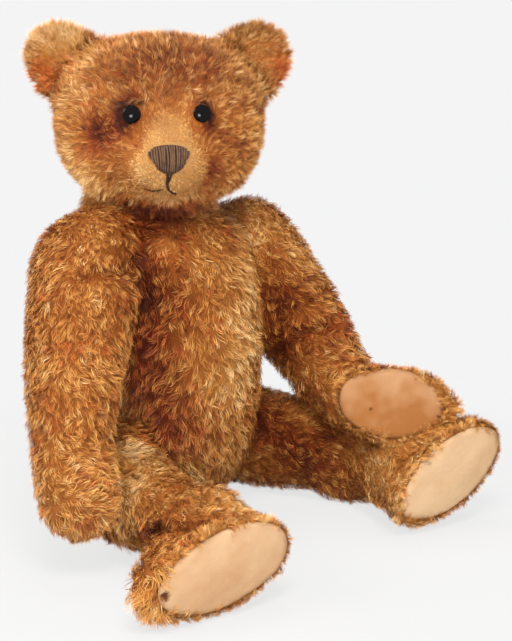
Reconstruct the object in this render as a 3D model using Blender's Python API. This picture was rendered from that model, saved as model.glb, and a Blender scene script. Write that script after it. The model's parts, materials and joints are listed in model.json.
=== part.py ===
import math

import bpy
import bmesh
from mathutils import Matrix, Vector
from mathutils.bvhtree import BVHTree

# driving sizes in millimetres; every other size follows from these
gap = 0.3
feltThickness = 3.0
clothWall = 1.6

torsoHeight = 292.0
torsoHalfWidth = 84.0
torsoHalfDepth = 88.0
bellySetForward = 26.0
seatHalfWidth = 44.0
seatHalfDepth = 38.0
neckRadius = 54.0
neckSetForward = 6.0

headHeight = 170.0
headHalfWidth = 104.0
headDepth = 212.0
headYaw = -38.0

earWidth = 74.0
earHeight = 51.0
earThickness = 20.0
earLean = 46.0
earSpread = 82.0

eyeDiameter = 17.0
eyeSpread = 31.5
eyeHeight = 99.0
shankDiameter = 4.0

noseWidth = 40.0
noseHeight = 28.0
noseThickness = 3.2
threadDiameter = 2.4

shoulderHalfSpan = 70.0
shoulderHeight = 246.0
shoulderSetBack = -20.0
armLength = 255.0
armHalfWidth = 55.0
armHalfThickness = 45.0
pawHalfWidth = 38.5
pawPadLength = 87.0
pawPadWidth = 64.0
shoulderCapRadius = 55.0
nearArmSwing = 17.0
nearArmTilt = 18.0
farArmSwing = 43.5
farArmTilt = -4.0
nearPawCurl = 0.35
farPawCurl = 1.0

hipHalfSpan = 57.0
hipHeight = 54.5
hipSetBack = -26.0
legLength = 246.0
thighHalfHeight = 53.0
thighHalfThickness = 40.0
ankleHalfWidth = 39.0
soleLength = 134.0
soleWidth = 78.0
nearLegSplay = 11.5
farLegSplay = 10.0
nearFootRoll = 99.0
farFootRoll = 60.0
nearFootTurn = 0.0
farFootTurn = 26.0
nearLegDrop = 2.35
farLegDrop = 2.4

neckDiscDiameter = 74.0
shoulderDiscDiameter = 54.0
hipDiscDiameter = 68.0
discThickness = 3.0
washerDiameter = 20.0
washerThickness = 1.0
pinWireDiameter = 1.6
pinEyeRadius = 3.6

sides = 24
limbSides = 18
mm = 0.001


def clearScene():
    for item in list(bpy.data.objects):
        bpy.data.objects.remove(item, do_unlink=True)
    for mesh in list(bpy.data.meshes):
        bpy.data.meshes.remove(mesh)


def material(name, colour, roughness, metallic=0.0):
    made = bpy.data.materials.get(name)
    if made:
        return made
    made = bpy.data.materials.new(name)
    made.use_nodes = True
    shader = made.node_tree.nodes["Principled BSDF"]
    shader.inputs["Base Color"].default_value = (*colour, 1.0)
    shader.inputs["Roughness"].default_value = roughness
    shader.inputs["Metallic"].default_value = metallic
    made.diffuse_color = (*colour, 1.0)
    return made


looks = {
    "mohair": ((0.52, 0.27, 0.10), 0.9, 0.0),
    "felt": ((0.73, 0.47, 0.26), 0.95, 0.0),
    "card": ((0.42, 0.31, 0.19), 0.9, 0.0),
    "steel": ((0.45, 0.44, 0.42), 0.45, 0.9),
    "eye_glass": ((0.012, 0.009, 0.008), 0.06, 0.0),
    "thread": ((0.14, 0.09, 0.06), 0.7, 0.0),
}


def place(name, mesh, look, frame=None, smooth=True):
    item = bpy.data.objects.new(name, mesh)
    bpy.context.scene.collection.objects.link(item)
    colour, roughness, metallic = looks[look]
    mesh.materials.clear()
    mesh.materials.append(material(name + "_" + look, colour, roughness, metallic))
    for face in mesh.polygons:
        face.use_smooth = smooth
        face.material_index = 0
    if frame is not None:
        item.matrix_world = frame
    return item


def meshFrom(name, points, faces):
    mesh = bpy.data.meshes.new(name)
    mesh.from_pydata([Vector(p) * mm for p in points], [], faces)
    mesh.update()
    bm = bmesh.new()
    bm.from_mesh(mesh)
    bmesh.ops.recalc_face_normals(bm, faces=bm.faces)
    if bm.calc_volume(signed=True) < 0:
        bmesh.ops.reverse_faces(bm, faces=bm.faces)
    bm.to_mesh(mesh)
    bm.free()
    return mesh


# rings joined into a closed skin; a one-point ring is a pole, an end ring is a flat cap
def loft(name, rings):
    points, starts = [], []
    for ring in rings:
        starts.append(len(points))
        points.extend(ring)
    faces = []
    for k in range(len(rings) - 1):
        a, b = rings[k], rings[k + 1]
        i, j = starts[k], starts[k + 1]
        n = max(len(a), len(b))
        for m in range(n):
            o = (m + 1) % n
            if len(a) == 1:
                faces.append((i, j + o, j + m))
            elif len(b) == 1:
                faces.append((i + m, i + o, j))
            else:
                faces.append((i + m, i + o, j + o, j + m))
    if len(rings[0]) > 1:
        faces.append(tuple(range(starts[0] + len(rings[0]) - 1, starts[0] - 1, -1)))
    if len(rings[-1]) > 1:
        faces.append(tuple(range(starts[-1], starts[-1] + len(rings[-1]))))
    return meshFrom(name, points, faces)


# power 2 is an ellipse and more is squarer; innerPower is for the half facing -across
def ring(centre, across, along, halfAcross, halfAlong, count, power=2.0, innerPower=None):
    centre, across, along = Vector(centre), Vector(across), Vector(along)
    points = []
    for k in range(count):
        c, s = math.cos(2 * math.pi * k / count), math.sin(2 * math.pi * k / count)
        soft = innerPower if innerPower and c < 0 else power
        c = math.copysign(abs(c) ** (2 / soft), c)
        s = math.copysign(abs(s) ** (2 / soft), s)
        points.append(centre + across * (halfAcross * c) + along * (halfAlong * s))
    return points


# outline given as radius and height pairs, turned about the local Z axis
def turned(name, outline, count):
    rings = []
    for radius, height in outline:
        if radius < 1e-6:
            rings.append([Vector((0, 0, height))])
        else:
            rings.append(ring((0, 0, height), (1, 0, 0), (0, 1, 0), radius, radius, count))
    return loft(name, rings)


def cutter(name, mesh, frame):
    item = bpy.data.objects.new(name, mesh)
    bpy.context.scene.collection.objects.link(item)
    item.matrix_world = frame
    item.hide_render = True
    item.display_type = "WIRE"
    return item


def boolean(item, tool, operation="DIFFERENCE"):
    step = item.modifiers.new(operation.lower(), "BOOLEAN")
    step.operation = operation
    step.solver = "EXACT"
    step.object = tool
    bpy.context.view_layer.update()
    graph = bpy.context.evaluated_depsgraph_get()
    solved = bpy.data.meshes.new_from_object(item.evaluated_get(graph))
    old = item.data
    item.modifiers.clear()
    item.data = solved
    solved.name = old.name
    bpy.data.meshes.remove(old)
    bpy.data.objects.remove(tool, do_unlink=True)


def merge(item, distance=0.02):
    bm = bmesh.new()
    bm.from_mesh(item.data)
    bmesh.ops.remove_doubles(bm, verts=bm.verts, dist=distance * mm)
    bmesh.ops.dissolve_degenerate(bm, edges=bm.edges, dist=distance * mm)
    bmesh.ops.recalc_face_normals(bm, faces=bm.faces)
    bm.to_mesh(item.data)
    bm.free()


def shift(x, y, z):
    return Matrix.Translation(Vector((x, y, z)) * mm)


def turn(degrees, axis):
    return Matrix.Rotation(math.radians(degrees), 4, axis)


# local Z becomes the joint axis that points out of the torso
def outwards(side):
    return turn(90 * side, "Y")


def smoothStep(t):
    t = min(max(t, 0.0), 1.0)
    return t * t * (3 - 2 * t)


# torso: height, width, depth and how far forward the middle sits, as fractions
torsoProfile = [
    (0.0, seatHalfWidth / torsoHalfWidth, seatHalfDepth / torsoHalfDepth, 0.45),
    (0.035, 0.70, 0.60, 0.50),
    (0.09, 0.84, 0.73, 0.58),
    (0.17, 0.91, 0.85, 0.70),
    (0.28, 0.96, 0.94, 0.84),
    (0.40, 0.98, 1.0, 0.96),
    (0.52, 1.0, 1.0, 1.0),
    (0.64, 1.0, 1.0, 1.0),
    (0.76, 0.99, 0.97, 0.88),
    (0.86, 0.97, 0.93, 0.62),
    (0.93, 0.93, 0.87, 0.40),
    (0.975, 0.84, 0.80, 0.28),
    (1.0, neckRadius / torsoHalfWidth, neckRadius / torsoHalfDepth, neckSetForward / bellySetForward),
]


def torsoSkin(name):
    rings = []
    for level, wide, deep, forward in torsoProfile:
        height = level * torsoHeight
        if level >= 1.0:
            height -= gap / 2
        rings.append(ring((0, -bellySetForward * forward, height), (1, 0, 0), (0, 1, 0),
                          wide * torsoHalfWidth, deep * torsoHalfDepth, sides))
    return loft(name, rings)


# pocket for one half of a joint: pin hole, card disc, washer and pin room along local Z
def jointPocket(name, discDiameter, reach):
    pin = pinWireDiameter * 1.5 + gap + 0.1
    disc = discDiameter / 2 + gap
    discEnd = clothWall + discThickness + 2 * gap
    washerEnd = discEnd + washerThickness + gap
    roomEnd = washerEnd + pinEyeRadius * 2 + 4.5
    outline = [(0.0, -2.0), (pin, -2.0), (pin, clothWall), (disc, clothWall), (disc, washerEnd),
               (reach, washerEnd), (reach, roomEnd), (0.0, roomEnd)]
    return turned(name, outline, 16)


def annulus(name, outer, inner, low, high, count):
    loops = [(outer, low), (outer, high), (inner, high), (inner, low)]
    points, faces = [], []
    for radius, height in loops:
        points.extend(ring((0, 0, height), (1, 0, 0), (0, 1, 0), radius, radius, count))
    total = len(loops)
    for k in range(total):
        for m in range(count):
            o = (m + 1) % count
            i, j = k * count, ((k + 1) % total) * count
            faces.append((i + m, i + o, j + o, j + m))
    return meshFrom(name, points, faces)


def tube(name, path, radius, around):
    count = len(path)
    rings = []
    last = None
    for k, point in enumerate(path):
        ahead = (path[min(k + 1, count - 1)] - path[max(k - 1, 0)]).normalized()
        if last is None:
            last = ahead.orthogonal().normalized()
        last = (last - ahead * last.dot(ahead)).normalized()
        rings.append(ring(point, last, ahead.cross(last), radius, radius, around))
    return loft(name, rings)


# split pin: eye on the limb side, two curled ends on the torso side
def pinPath():
    wire = pinWireDiameter / 2
    start = clothWall + discThickness + washerThickness + 3 * gap + gap
    legGap = wire + gap / 2 + 0.05
    eyeCentre = start + pinEyeRadius + 0.6
    curl = 3.0
    ends = []
    for turnTo in range(6):
        angle = math.radians(turnTo * 39)
        ends.append(Vector((legGap + curl * (1 - math.cos(angle)), 0,
                            -(start + 2.2) - curl * math.sin(angle))))
    arc = []
    for k in range(7):
        angle = math.radians(-62 + k * (304 / 6.0))
        arc.append(Vector((math.cos(angle) * pinEyeRadius, 0, eyeCentre + math.sin(angle) * pinEyeRadius)))
    right = list(reversed(ends)) + [Vector((legGap, 0, start - 2.2))]
    left = [Vector((-legGap, 0, start - 2.2))] + [Vector((-p.x, p.y, p.z)) for p in ends]
    return right + arc + left


# discs, washers and pin of one joint; local Z of both frames points out of the torso
def jointHardware(prefix, frame, limbFrame, discDiameter):
    pinBore = pinWireDiameter * 1.5 + 0.4
    low = clothWall + gap
    made = {}
    for half, sign in (("outer", 1), ("inner", -1)):
        spot = limbFrame if sign > 0 else frame @ turn(180, "X")
        disc = annulus(prefix + "_" + half + "_disc", discDiameter / 2, pinBore,
                       low, low + discThickness, 16)
        made[half + "_disc"] = place(prefix + "_" + half + "_disc", disc, "card", spot)
        start = low + discThickness + gap
        washer = annulus(prefix + "_" + half + "_washer", washerDiameter / 2, pinBore,
                         start, start + washerThickness, 12)
        made[half + "_washer"] = place(prefix + "_" + half + "_washer", washer, "steel", spot)
    pin = tube(prefix + "_split_pin", pinPath(), pinWireDiameter / 2, 5)
    made["pin"] = place(prefix + "_split_pin", pin, "steel", frame)
    return made


# limb stations: distance down, forward, side offset, half thickness, half width, tilt
# the side next to the joint is flat down to flatEnd
def limbRings(table, flatEnd, roll=None):
    rings = []
    for down, forward, out, thick, wide, tilt in table:
        angle = math.radians(tilt)
        front = Vector((0, -math.cos(angle), math.sin(angle)))
        across = Vector((1, 0, 0))
        centre = Vector((out, -forward, -down))
        if roll:
            spin = Matrix.Rotation(math.radians(roll(down)), 3, "Z")
            front, across = spin @ front, spin @ across
            centre = Vector((out, 0, -down)) + front * forward
        flat = 1 - smoothStep((down - flatEnd) / 60)
        if thick < 1e-6:
            rings.append([centre])
        else:
            rings.append(ring(centre, across, front, thick, wide, limbSides, 2.0, 2.0 + 1.8 * flat))
    return rings


def mirrored(rings):
    return [[Vector((-p.x, p.y, p.z)) for p in loop] for loop in rings]


def armTable(curl):
    t, w, p, s, c = armHalfThickness, armHalfWidth, pawHalfWidth, armLength / 260.0, shoulderCapRadius
    return [
        (-c, 0, 0.46 * t, 0, 0, 0),
        (-0.94 * c, 0, 0.46 * t, 0.36 * t, 0.36 * w, 0),
        (-0.78 * c, 0, 0.66 * t, 0.66 * t, 0.66 * w, 0),
        (-0.48 * c, 0, 0.86 * t, 0.89 * t, 0.91 * w, 0),
        (-0.05 * c, 0, 0.97 * t, 1.00 * t, 1.02 * w, 0),
        (40 * s, 0, 1.05 * t, 1.00 * t, 1.00 * w, 0),
        (84 * s, 0, 1.12 * t, 0.98 * t, 0.98 * w, 0),
        (124 * s, 0, 1.16 * t, 0.92 * t, 0.91 * w, 2 * curl),
        (157 * s, 1 * curl, 1.18 * t, 0.87 * t, 0.80 * w, 9 * curl),
        (182 * s, 6 * curl, 1.18 * t, 1.00 * p, 1.04 * p, 22 * curl),
        ((204 - 2 * curl) * s, 17 * curl, 1.18 * t, p, 1.02 * p, 36 * curl),
        ((224 - 6 * curl) * s, 32 * curl, 1.18 * t, p, 1.02 * p, 48 * curl),
        ((241 - 11 * curl) * s, 49 * curl, 1.18 * t, 0.93 * p, 0.96 * p, 58 * curl),
        ((253 - 15 * curl) * s, 65 * curl, 1.18 * t, 0.72 * p, 0.76 * p, 66 * curl),
        ((259 - 17 * curl) * s, 75 * curl, 1.18 * t, 0.40 * p, 0.44 * p, 72 * curl),
        ((261 - 18 * curl) * s, 80 * curl, 1.18 * t, 0, 0, 74 * curl),
    ]


def padFrame(centre, normal, along):
    normal = Vector(normal).normalized()
    along = Vector(along)
    along = (along - normal * along.dot(normal)).normalized()
    across = normal.cross(along)
    frame = Matrix((along, across, normal)).transposed().to_4x4()
    return Matrix.Translation(Vector(centre) * mm) @ frame


def pawFrame(side, curl):
    s = armLength / 260.0
    lean = math.radians(60 * curl)
    ahead = Vector((0, -math.sin(lean), -math.cos(lean)))
    depth = 5 + 11 * (1 - curl)
    centre = Vector((side * (1.18 * armHalfThickness - depth), -34 * curl, -(218 - 2 * curl) * s))
    centre += ahead * (12 - 24 * (1 - curl))
    inward = 0.66 + 0.30 * (1 - curl)
    return padFrame(centre, (-inward * side, 0.3 * (1 - curl) - 0.80 * curl * curl, -0.20), ahead)


def outsideBox(name, frame, size, depth):
    points = []
    for z in (0, depth):
        for x, y in ((-1, -1), (1, -1), (1, 1), (-1, 1)):
            points.append((x * size, y * size, z))
    faces = [(3, 2, 1, 0), (4, 5, 6, 7), (0, 1, 5, 4), (1, 2, 6, 5), (2, 3, 7, 6), (3, 0, 4, 7)]
    return cutter(name, meshFrom(name, points, faces), frame)


# felt pad: flat back, rounded rim and a slightly domed face
def padMesh(name, length, width, count, dome=2.2):
    steps = [(0.97, 0.0), (1.0, 1.0), (0.985, feltThickness - 0.6), (0.93, feltThickness + 0.2),
             (0.55, feltThickness + dome * 0.75)]
    rings = []
    for scale, height in steps:
        loop = []
        for k in range(count):
            angle = 2 * math.pi * k / count
            loop.append(Vector((math.cos(angle) * length / 2 * scale,
                                math.sin(angle) * width / 2 * scale, height)))
        rings.append(loop)
    rings.append([Vector((0, 0, feltThickness + dome))])
    return loft(name, rings)


def armSkin(name, side, curl):
    rings = limbRings(armTable(curl), 40)
    return loft(name, mirrored(rings) if side < 0 else rings)


def buildArm(name, side, frame, curl):
    item = place(name + "_arm_plush", armSkin(name + "_arm_plush", side, curl), "mohair", frame)
    inner = frame @ shift(side * gap / 2, 0, 0) @ turn(-90 * side, "Y")
    boolean(item, outsideBox(name + "_armFlat", inner, 80, 60))
    palm = frame @ pawFrame(side, curl)
    boolean(item, outsideBox(name + "_palmFlat", palm, 80, 70))
    pocket = frame @ shift(side * gap / 2, 0, 0) @ outwards(side)
    boolean(item, cutter(name + "_armPocket", jointPocket("pocket", shoulderDiscDiameter, 6.5), pocket))
    merge(item)
    pad = padMesh(name + "_paw_pad", pawPadLength, pawPadWidth, 20)
    place(name + "_paw_pad", pad, "felt", palm @ shift(0, 0, gap))
    return item


def legTable():
    t, h, a, s, l = thighHalfThickness, thighHalfHeight, ankleHalfWidth, legLength / 258.0, soleLength / 2
    return [
        (-54 * s, 0, 0.50 * t, 0, 0, 0),
        (-50 * s, 0, 0.50 * t, 0.40 * t, 0.40 * h, 0),
        (-41 * s, 0, 0.66 * t, 0.67 * t, 0.68 * h, 0),
        (-25 * s, 0, 0.86 * t, 0.89 * t, 0.89 * h, 0),
        (0 * s, 0, 0.95 * t, 0.99 * t, 1.00 * h, 0),
        (32 * s, 0, 1.02 * t, 1.00 * t, 1.00 * h, 0),
        (70 * s, 0, 1.08 * t, 0.98 * t, 0.93 * h, 0),
        (110 * s, 0, 1.10 * t, 0.96 * t, 0.84 * h, 0),
        (148 * s, 0, 1.10 * t, 0.98 * a, 0.79 * h, 0),
        (178 * s, 0, 1.10 * t, 1.00 * a, 1.11 * a, 0),
        (200 * s, 7, 1.10 * t, 1.02 * a, 1.38 * a, 0),
        (218 * s, 14, 1.10 * t, 1.02 * a, 1.0 * l - 5, 0),
        (235 * s, 19, 1.10 * t, 1.06 * a, 1.0 * l + 5, 0),
        (250 * s, 19, 1.10 * t, 1.04 * a, 1.0 * l + 6, 0),
        (258 * s, 17, 1.10 * t, 1.0 * soleWidth / 2, 1.0 * l, 0),
    ]


# the foot end is turned about an upright line through the ankle
def footTurn(down, inward):
    return inward * smoothStep((down / legLength - 0.36) / 0.36)


def anklePivot(side):
    return Vector((side * 1.10 * thighHalfThickness, 0, -0.72 * legLength))


def bendFoot(point, side, inward):
    pivot = anklePivot(side)
    spin = Matrix.Rotation(math.radians(footTurn(-point.z, inward)) * side, 3, "Y")
    return pivot + spin @ (point - pivot)


def soleFrame(side, roll, inward):
    pivot = anklePivot(side)
    base = Matrix.Translation(pivot * mm) @ turn(footTurn(legLength, inward) * side, "Y")
    base = base @ shift(0, 0, -legLength - pivot.z)
    return base @ turn(roll * side, "Z") @ shift(0, -17, 0) @ turn(180, "X") @ turn(90, "Z")


def buildLeg(name, side, frame, roll, inward):
    s = legLength / 258.0

    def footRoll(down):
        return roll * smoothStep((down / s - 120) / 105)

    rings = limbRings(legTable(), 45, footRoll)
    if side < 0:
        rings = mirrored(rings)
    rings = [[bendFoot(p, side, inward) for p in loop] for loop in rings]
    item = place(name + "_leg_plush", loft(name + "_leg_plush", rings), "mohair", frame)
    inner = frame @ shift(side * gap / 2, 0, 0) @ turn(-90 * side, "Y")
    boolean(item, outsideBox(name + "_legFlat", inner, 75, 60))
    pocket = frame @ shift(side * gap / 2, 0, 0) @ outwards(side)
    boolean(item, cutter(name + "_legPocket", jointPocket("pocket", hipDiscDiameter, 6.5), pocket))
    sole = frame @ soleFrame(side, roll, inward)
    cardLength, cardWidth = soleLength - 22, soleWidth - 20
    recess = loft(name + "_recess", [
        ring((0, 0, h), (1, 0, 0), (0, 1, 0), cardLength / 2 + gap, cardWidth / 2 + gap, 18)
        for h in (-discThickness - gap, 5.0)])
    boolean(item, cutter(name + "_soleRecess", recess, sole))
    merge(item)
    card = loft(name + "_foot_insole", [
        ring((0, 0, h), (1, 0, 0), (0, 1, 0), cardLength / 2, cardWidth / 2, 18)
        for h in (-discThickness, 0.0)])
    place(name + "_foot_insole", card, "card", sole)
    pad = padMesh(name + "_foot_pad", soleLength - 8, soleWidth - 8, 22)
    place(name + "_foot_pad", pad, "felt", sole @ shift(0, 0, gap))
    return item


# head: distance along the face axis (front is negative), bottom, top, half width
def headTable():
    h, w = headHeight / 170.0, headHalfWidth / 98.0
    d = headDepth / 212.0
    rows = [
        (94, 92, 92, 0),
        (91, 72, 112, 24),
        (82, 48, 134, 48),
        (66, 26, 154, 70),
        (44, 10, 168, 88),
        (18, 3.5, 174, 97),
        (-8, 3.0, 174, 98),
        (-32, 4, 165, 93),
        (-50, 7, 148, 84),
        (-64, 11, 128, 70),
        (-76, 15, 110, 56),
        (-90, 20, 94, 44),
        (-103, 27, 84, 35),
        (-112, 36, 76, 26),
        (-117, 46, 68, 15),
        (-119, 57, 57, 0),
    ]
    return [(y * d, low * h, high * h, wide * w) for y, low, high, wide in rows]


def headSkin(name):
    rings = []
    for y, low, high, wide in headTable():
        middle = Vector((0, y, (low + high) / 2))
        if wide < 1e-6:
            rings.append([middle])
        else:
            rings.append(ring(middle, (1, 0, 0), (0, 0, 1), wide, (high - low) / 2, 26,
                              2.0 + 0.35 * smoothStep((y + 70) / 50)))
    return loft(name, rings)


# a skin moved outwards, used to trim what lies against it
def grown(mesh, amount):
    moved = [v.co + v.normal * amount * mm for v in mesh.vertices]
    for vertex, spot in zip(mesh.vertices, moved):
        vertex.co = spot
    mesh.update()
    return mesh


def treeOf(mesh):
    points = [v.co / mm for v in mesh.vertices]
    return BVHTree.FromPolygons(points, [tuple(p.vertices) for p in mesh.polygons])


def eyeFrame(side, tree):
    start = Vector((side * eyeSpread, -200, eyeHeight))
    spot, normal, _, _ = tree.ray_cast(start, Vector((0, 1, 0)))
    aim = Vector((normal.x * 0.55, -1, max(normal.z, 0) * 0.35)).normalized()
    along = Vector((0, 0, 1))
    return padFrame(spot + aim * 1.0, aim, along)


# glass eye: ball face, flat back and a shank with a loop end in the socket
def eyeMesh(name):
    r = eyeDiameter / 2
    outline = [(0.0, -9.0), (shankDiameter / 2, -9.0), (shankDiameter / 2, -3.4), (r * 0.72, -3.0),
               (r * 0.97, -0.8), (r, 1.0), (r * 0.93, 3.2), (r * 0.75, 5.0), (r * 0.42, 6.4), (0.0, 6.9)]
    return turned(name, outline, 14)


def socketMesh(name):
    r = eyeDiameter / 2 + gap
    outline = [(0.0, -9.6), (shankDiameter / 2 + gap + 0.2, -9.6), (shankDiameter / 2 + gap + 0.2, -3.9),
               (r * 0.80, -3.6), (r * 1.02, -0.9), (r * 1.02, 14.0), (0.0, 14.0)]
    return turned(name, outline, 14)


# ear: half oval cup that stands on the head, front hollow
def earSkin(name, side):
    rings = []
    count = 16
    for level in range(8):
        t = level / 7.0
        height = -16 + (earHeight + 16) * t
        if t >= 1.0:
            rings.append([Vector((0, 1.0, height))])
            continue
        wide = earWidth / 2 * math.sqrt(max(0.0, 1 - (max(height, 0) / earHeight) ** 2.3))
        wide *= 1.0 if height > 0 else 1 - 0.012 * -height
        thick = earThickness / 2 * (0.55 + 0.45 * math.sqrt(max(0.0, 1 - (max(height, 0) / earHeight) ** 2)))
        loop = []
        for k in range(count):
            angle = 2 * math.pi * k / count
            x = math.cos(angle) * wide
            y = math.sin(angle) * thick
            cup = 9.0 * (x / (earWidth / 2)) ** 2
            if math.sin(angle) < 0:
                y *= 0.55
            loop.append(Vector((x, y - cup, height)))
        rings.append(loop)
    return loft(name, rings)


def earFrame(side):
    base = Vector((side * earSpread, 4, 0.80 * headHeight))
    return Matrix.Translation(base * mm) @ turn(earLean * side, "Y") @ turn(-6 * side, "Z") @ turn(8, "X")


# nose: vertical satin stitches in a shield shape, laid on the muzzle by rays
def noseMesh(name, tree):
    columns, rowsCount = 22, 5
    top, bottom = [], []
    for c in range(columns + 1):
        u = -1 + 2 * c / columns
        for r in range(rowsCount + 1):
            v = r / rowsCount
            edge = 1 - 0.34 * smoothStep((v - 0.25) / 0.75)
            x = u * noseWidth / 2 * edge
            z = noseTop() - noseHeight * (v - (0.40 * v - 0.20 * (1 - v)) * u * u)
            spot, normal, _, _ = tree.ray_cast(Vector((x * 0.96, -200, z)), Vector((0, 1, 0)))
            if spot is None:
                spot, normal = Vector((x, -60, z)), Vector((0, -1, 0))
            out = Vector((normal.x, normal.y, normal.z))
            if out.y > 0:
                out = -out
            rib = 0.62 if c % 2 else 0.0
            rim = min(1.0, 3.2 * min(1 - abs(u), v + 0.04, 1.04 - v) + 0.35)
            base = spot - out * 1.5
            top.append(spot + out * (gap + 0.7 + (noseThickness - 0.7) * rim - rib))
            bottom.append(base)
    points = top + bottom
    offset = len(top)
    stride = rowsCount + 1
    faces = []
    for c in range(columns):
        for r in range(rowsCount):
            a, b = c * stride + r, (c + 1) * stride + r
            faces.append((a, b, b + 1, a + 1))
            faces.append((offset + a, offset + a + 1, offset + b + 1, offset + b))
    for c in range(columns):
        a, b = c * stride, (c + 1) * stride
        faces.append((a, offset + a, offset + b, b))
        a, b = a + rowsCount, b + rowsCount
        faces.append((a, b, offset + b, offset + a))
    for r in range(rowsCount):
        a, b = r, r + 1
        faces.append((a, b, offset + b, offset + a))
        a, b = columns * stride + r, columns * stride + r + 1
        faces.append((a, offset + a, offset + b, b))
    return meshFrom(name, points, faces)


def noseTop():
    return 76.0


def mouthMesh(name, tree, marks):
    path = []
    for x, z in marks:
        spot, normal, _, _ = tree.ray_cast(Vector((x, -200, z)), Vector((0, 1, 0)))
        out = normal if normal.y < 0 else -normal
        path.append(spot + out * (gap + threadDiameter / 2 + 0.15))
    return tube(name, path, threadDiameter / 2, 6)


def buildHead(frame):
    skin = headSkin("head_plush")
    tree = treeOf(skin)
    head = place("head_plush", skin, "mohair", frame)
    stub = turned("neckStub", [(neckRadius, gap / 2), (neckRadius, 20.0)], 26)
    boolean(head, cutter("neckStub", stub, frame), "UNION")
    pocket = jointPocket("pocket", neckDiscDiameter, 6.5)
    boolean(head, cutter("neckPocket", pocket, frame @ shift(0, 0, gap / 2)))
    for side, name in ((1, "left"), (-1, "right")):
        spot = frame @ eyeFrame(side, tree)
        boolean(head, cutter(name + "_socket", socketMesh("socket"), spot))
        place(name + "_eye", eyeMesh(name + "_eye"), "eye_glass", spot)
    merge(head)
    for side, name in ((1, "left"), (-1, "right")):
        ear = place(name + "_ear_plush", earSkin(name + "_ear_plush", side), "mohair", frame @ earFrame(side))
        boolean(ear, cutter("earFoot", grown(headSkin("earFoot"), gap * 1.2), frame))
        merge(ear)
    nose = place("nose_stitching", noseMesh("nose_stitching", tree), "thread", frame, smooth=False)
    boolean(nose, cutter("noseBack", grown(headSkin("noseBack"), gap * 1.2), frame))
    merge(nose)
    low = noseTop() - noseHeight - 2.0
    place("mouth_centre_stitch", mouthMesh("mouth_centre_stitch", tree,
          [(0, low), (0.3, low - 4), (0, low - 8), (-0.2, low - 12)]), "thread", frame)
    fork = low - 12 - threadDiameter - 0.8
    place("mouth_branch_stitch", mouthMesh("mouth_branch_stitch", tree,
          [(-13, fork + 0.5), (-8, fork - 2.2), (-3, fork - 1.0), (0, fork), (3, fork - 1.0), (8, fork - 2.2),
           (13, fork + 0.5)]), "thread", frame)


def buildTorso():
    torso = place("torso_plush", torsoSkin("torso_plush"), "mohair")
    for side in (1, -1):
        for frame, disc, dimple in ((shoulderFrame(side), shoulderDiscDiameter, armHalfWidth + 45),
                                    (hipFrame(side), hipDiscDiameter, thighHalfHeight + 9)):
            face = frame @ shift(-side * gap / 2, 0, 0)
            seat = turned("dimple", [(dimple, 0.0), (dimple, 60.0)], 24)
            boolean(torso, cutter("dimple", seat, face @ outwards(side)))
            pocket = face @ outwards(-side)
            boolean(torso, cutter("pocket", jointPocket("pocket", disc, 9.2), pocket))
    top = neckFrame() @ shift(0, 0, -gap / 2) @ turn(180, "X")
    boolean(torso, cutter("neckPocket", jointPocket("pocket", neckDiscDiameter, 9.2), top))
    merge(torso)
    return torso


def neckFrame():
    return shift(0, -neckSetForward, torsoHeight)


def shoulderFrame(side):
    tilt = farArmTilt if side > 0 else nearArmTilt
    return shift(side * shoulderHalfSpan, shoulderSetBack, shoulderHeight) @ turn(-side * tilt, "Y")


def hipFrame(side):
    splay = farLegSplay if side > 0 else nearLegSplay
    return shift(side * hipHalfSpan, hipSetBack, hipHeight) @ turn(side * splay, "Z")


def build():
    clearScene()
    buildTorso()
    buildHead(neckFrame() @ turn(headYaw, "Z"))
    jointHardware("neck", neckFrame(), neckFrame() @ turn(headYaw, "Z"), neckDiscDiameter)
    for side, name, swing, curl in ((1, "left", farArmSwing, farPawCurl),
                                    (-1, "right", nearArmSwing, nearPawCurl)):
        frame = shoulderFrame(side) @ turn(-swing, "X")
        buildArm(name, side, frame, curl)
        jointHardware(name + "_shoulder", shoulderFrame(side) @ outwards(side), frame @ outwards(side),
                      shoulderDiscDiameter)
    for side, name, drop, roll, inward in ((1, "left", farLegDrop, farFootRoll, farFootTurn),
                                           (-1, "right", nearLegDrop, nearFootRoll, nearFootTurn)):
        frame = hipFrame(side) @ turn(-90 + drop, "X")
        leg = buildLeg(name, side, frame, roll, inward)
        if side > 0:
            paw = shoulderFrame(side) @ turn(-farArmSwing, "X")
            dent = grown(armSkin("pawDent", side, farPawCurl), gap * 1.5)
            boolean(leg, cutter("pawDent", dent, paw))
            merge(leg)
        jointHardware(name + "_hip", hipFrame(side) @ outwards(side), frame @ outwards(side), hipDiscDiameter)


# the frame starts on the floor under the middle of the whole bear
def centreOnFloor():
    low, high = Vector((1e9,) * 3), Vector((-1e9,) * 3)
    for item in bpy.data.objects:
        for vertex in item.data.vertices:
            spot = item.matrix_world @ vertex.co
            low = Vector(map(min, low, spot))
            high = Vector(map(max, high, spot))
    middle = Vector(((low.x + high.x) / 2, (low.y + high.y) / 2, 0))
    move = Matrix.Translation(-middle)
    for item in bpy.data.objects:
        item.matrix_world = move @ item.matrix_world
    return middle


build()
middle = centreOnFloor()
for name, frame in (("neck", neckFrame()),
                    ("left_shoulder", shoulderFrame(1)), ("right_shoulder", shoulderFrame(-1)),
                    ("left_hip", hipFrame(1)), ("right_hip", hipFrame(-1))):
    spot = frame.translation - middle
    axis = frame.to_3x3() @ Vector((0, 0, 1) if name == "neck" else (-1, 0, 0))
    print(name, [round(v, 5) for v in spot], [round(v, 5) for v in axis])
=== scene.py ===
import json
import math
import bpy
import bmesh
import numpy as np
from mathutils import Matrix, Vector, noise
from mathutils.bvhtree import BVHTree
from mathutils.kdtree import KDTree


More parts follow.
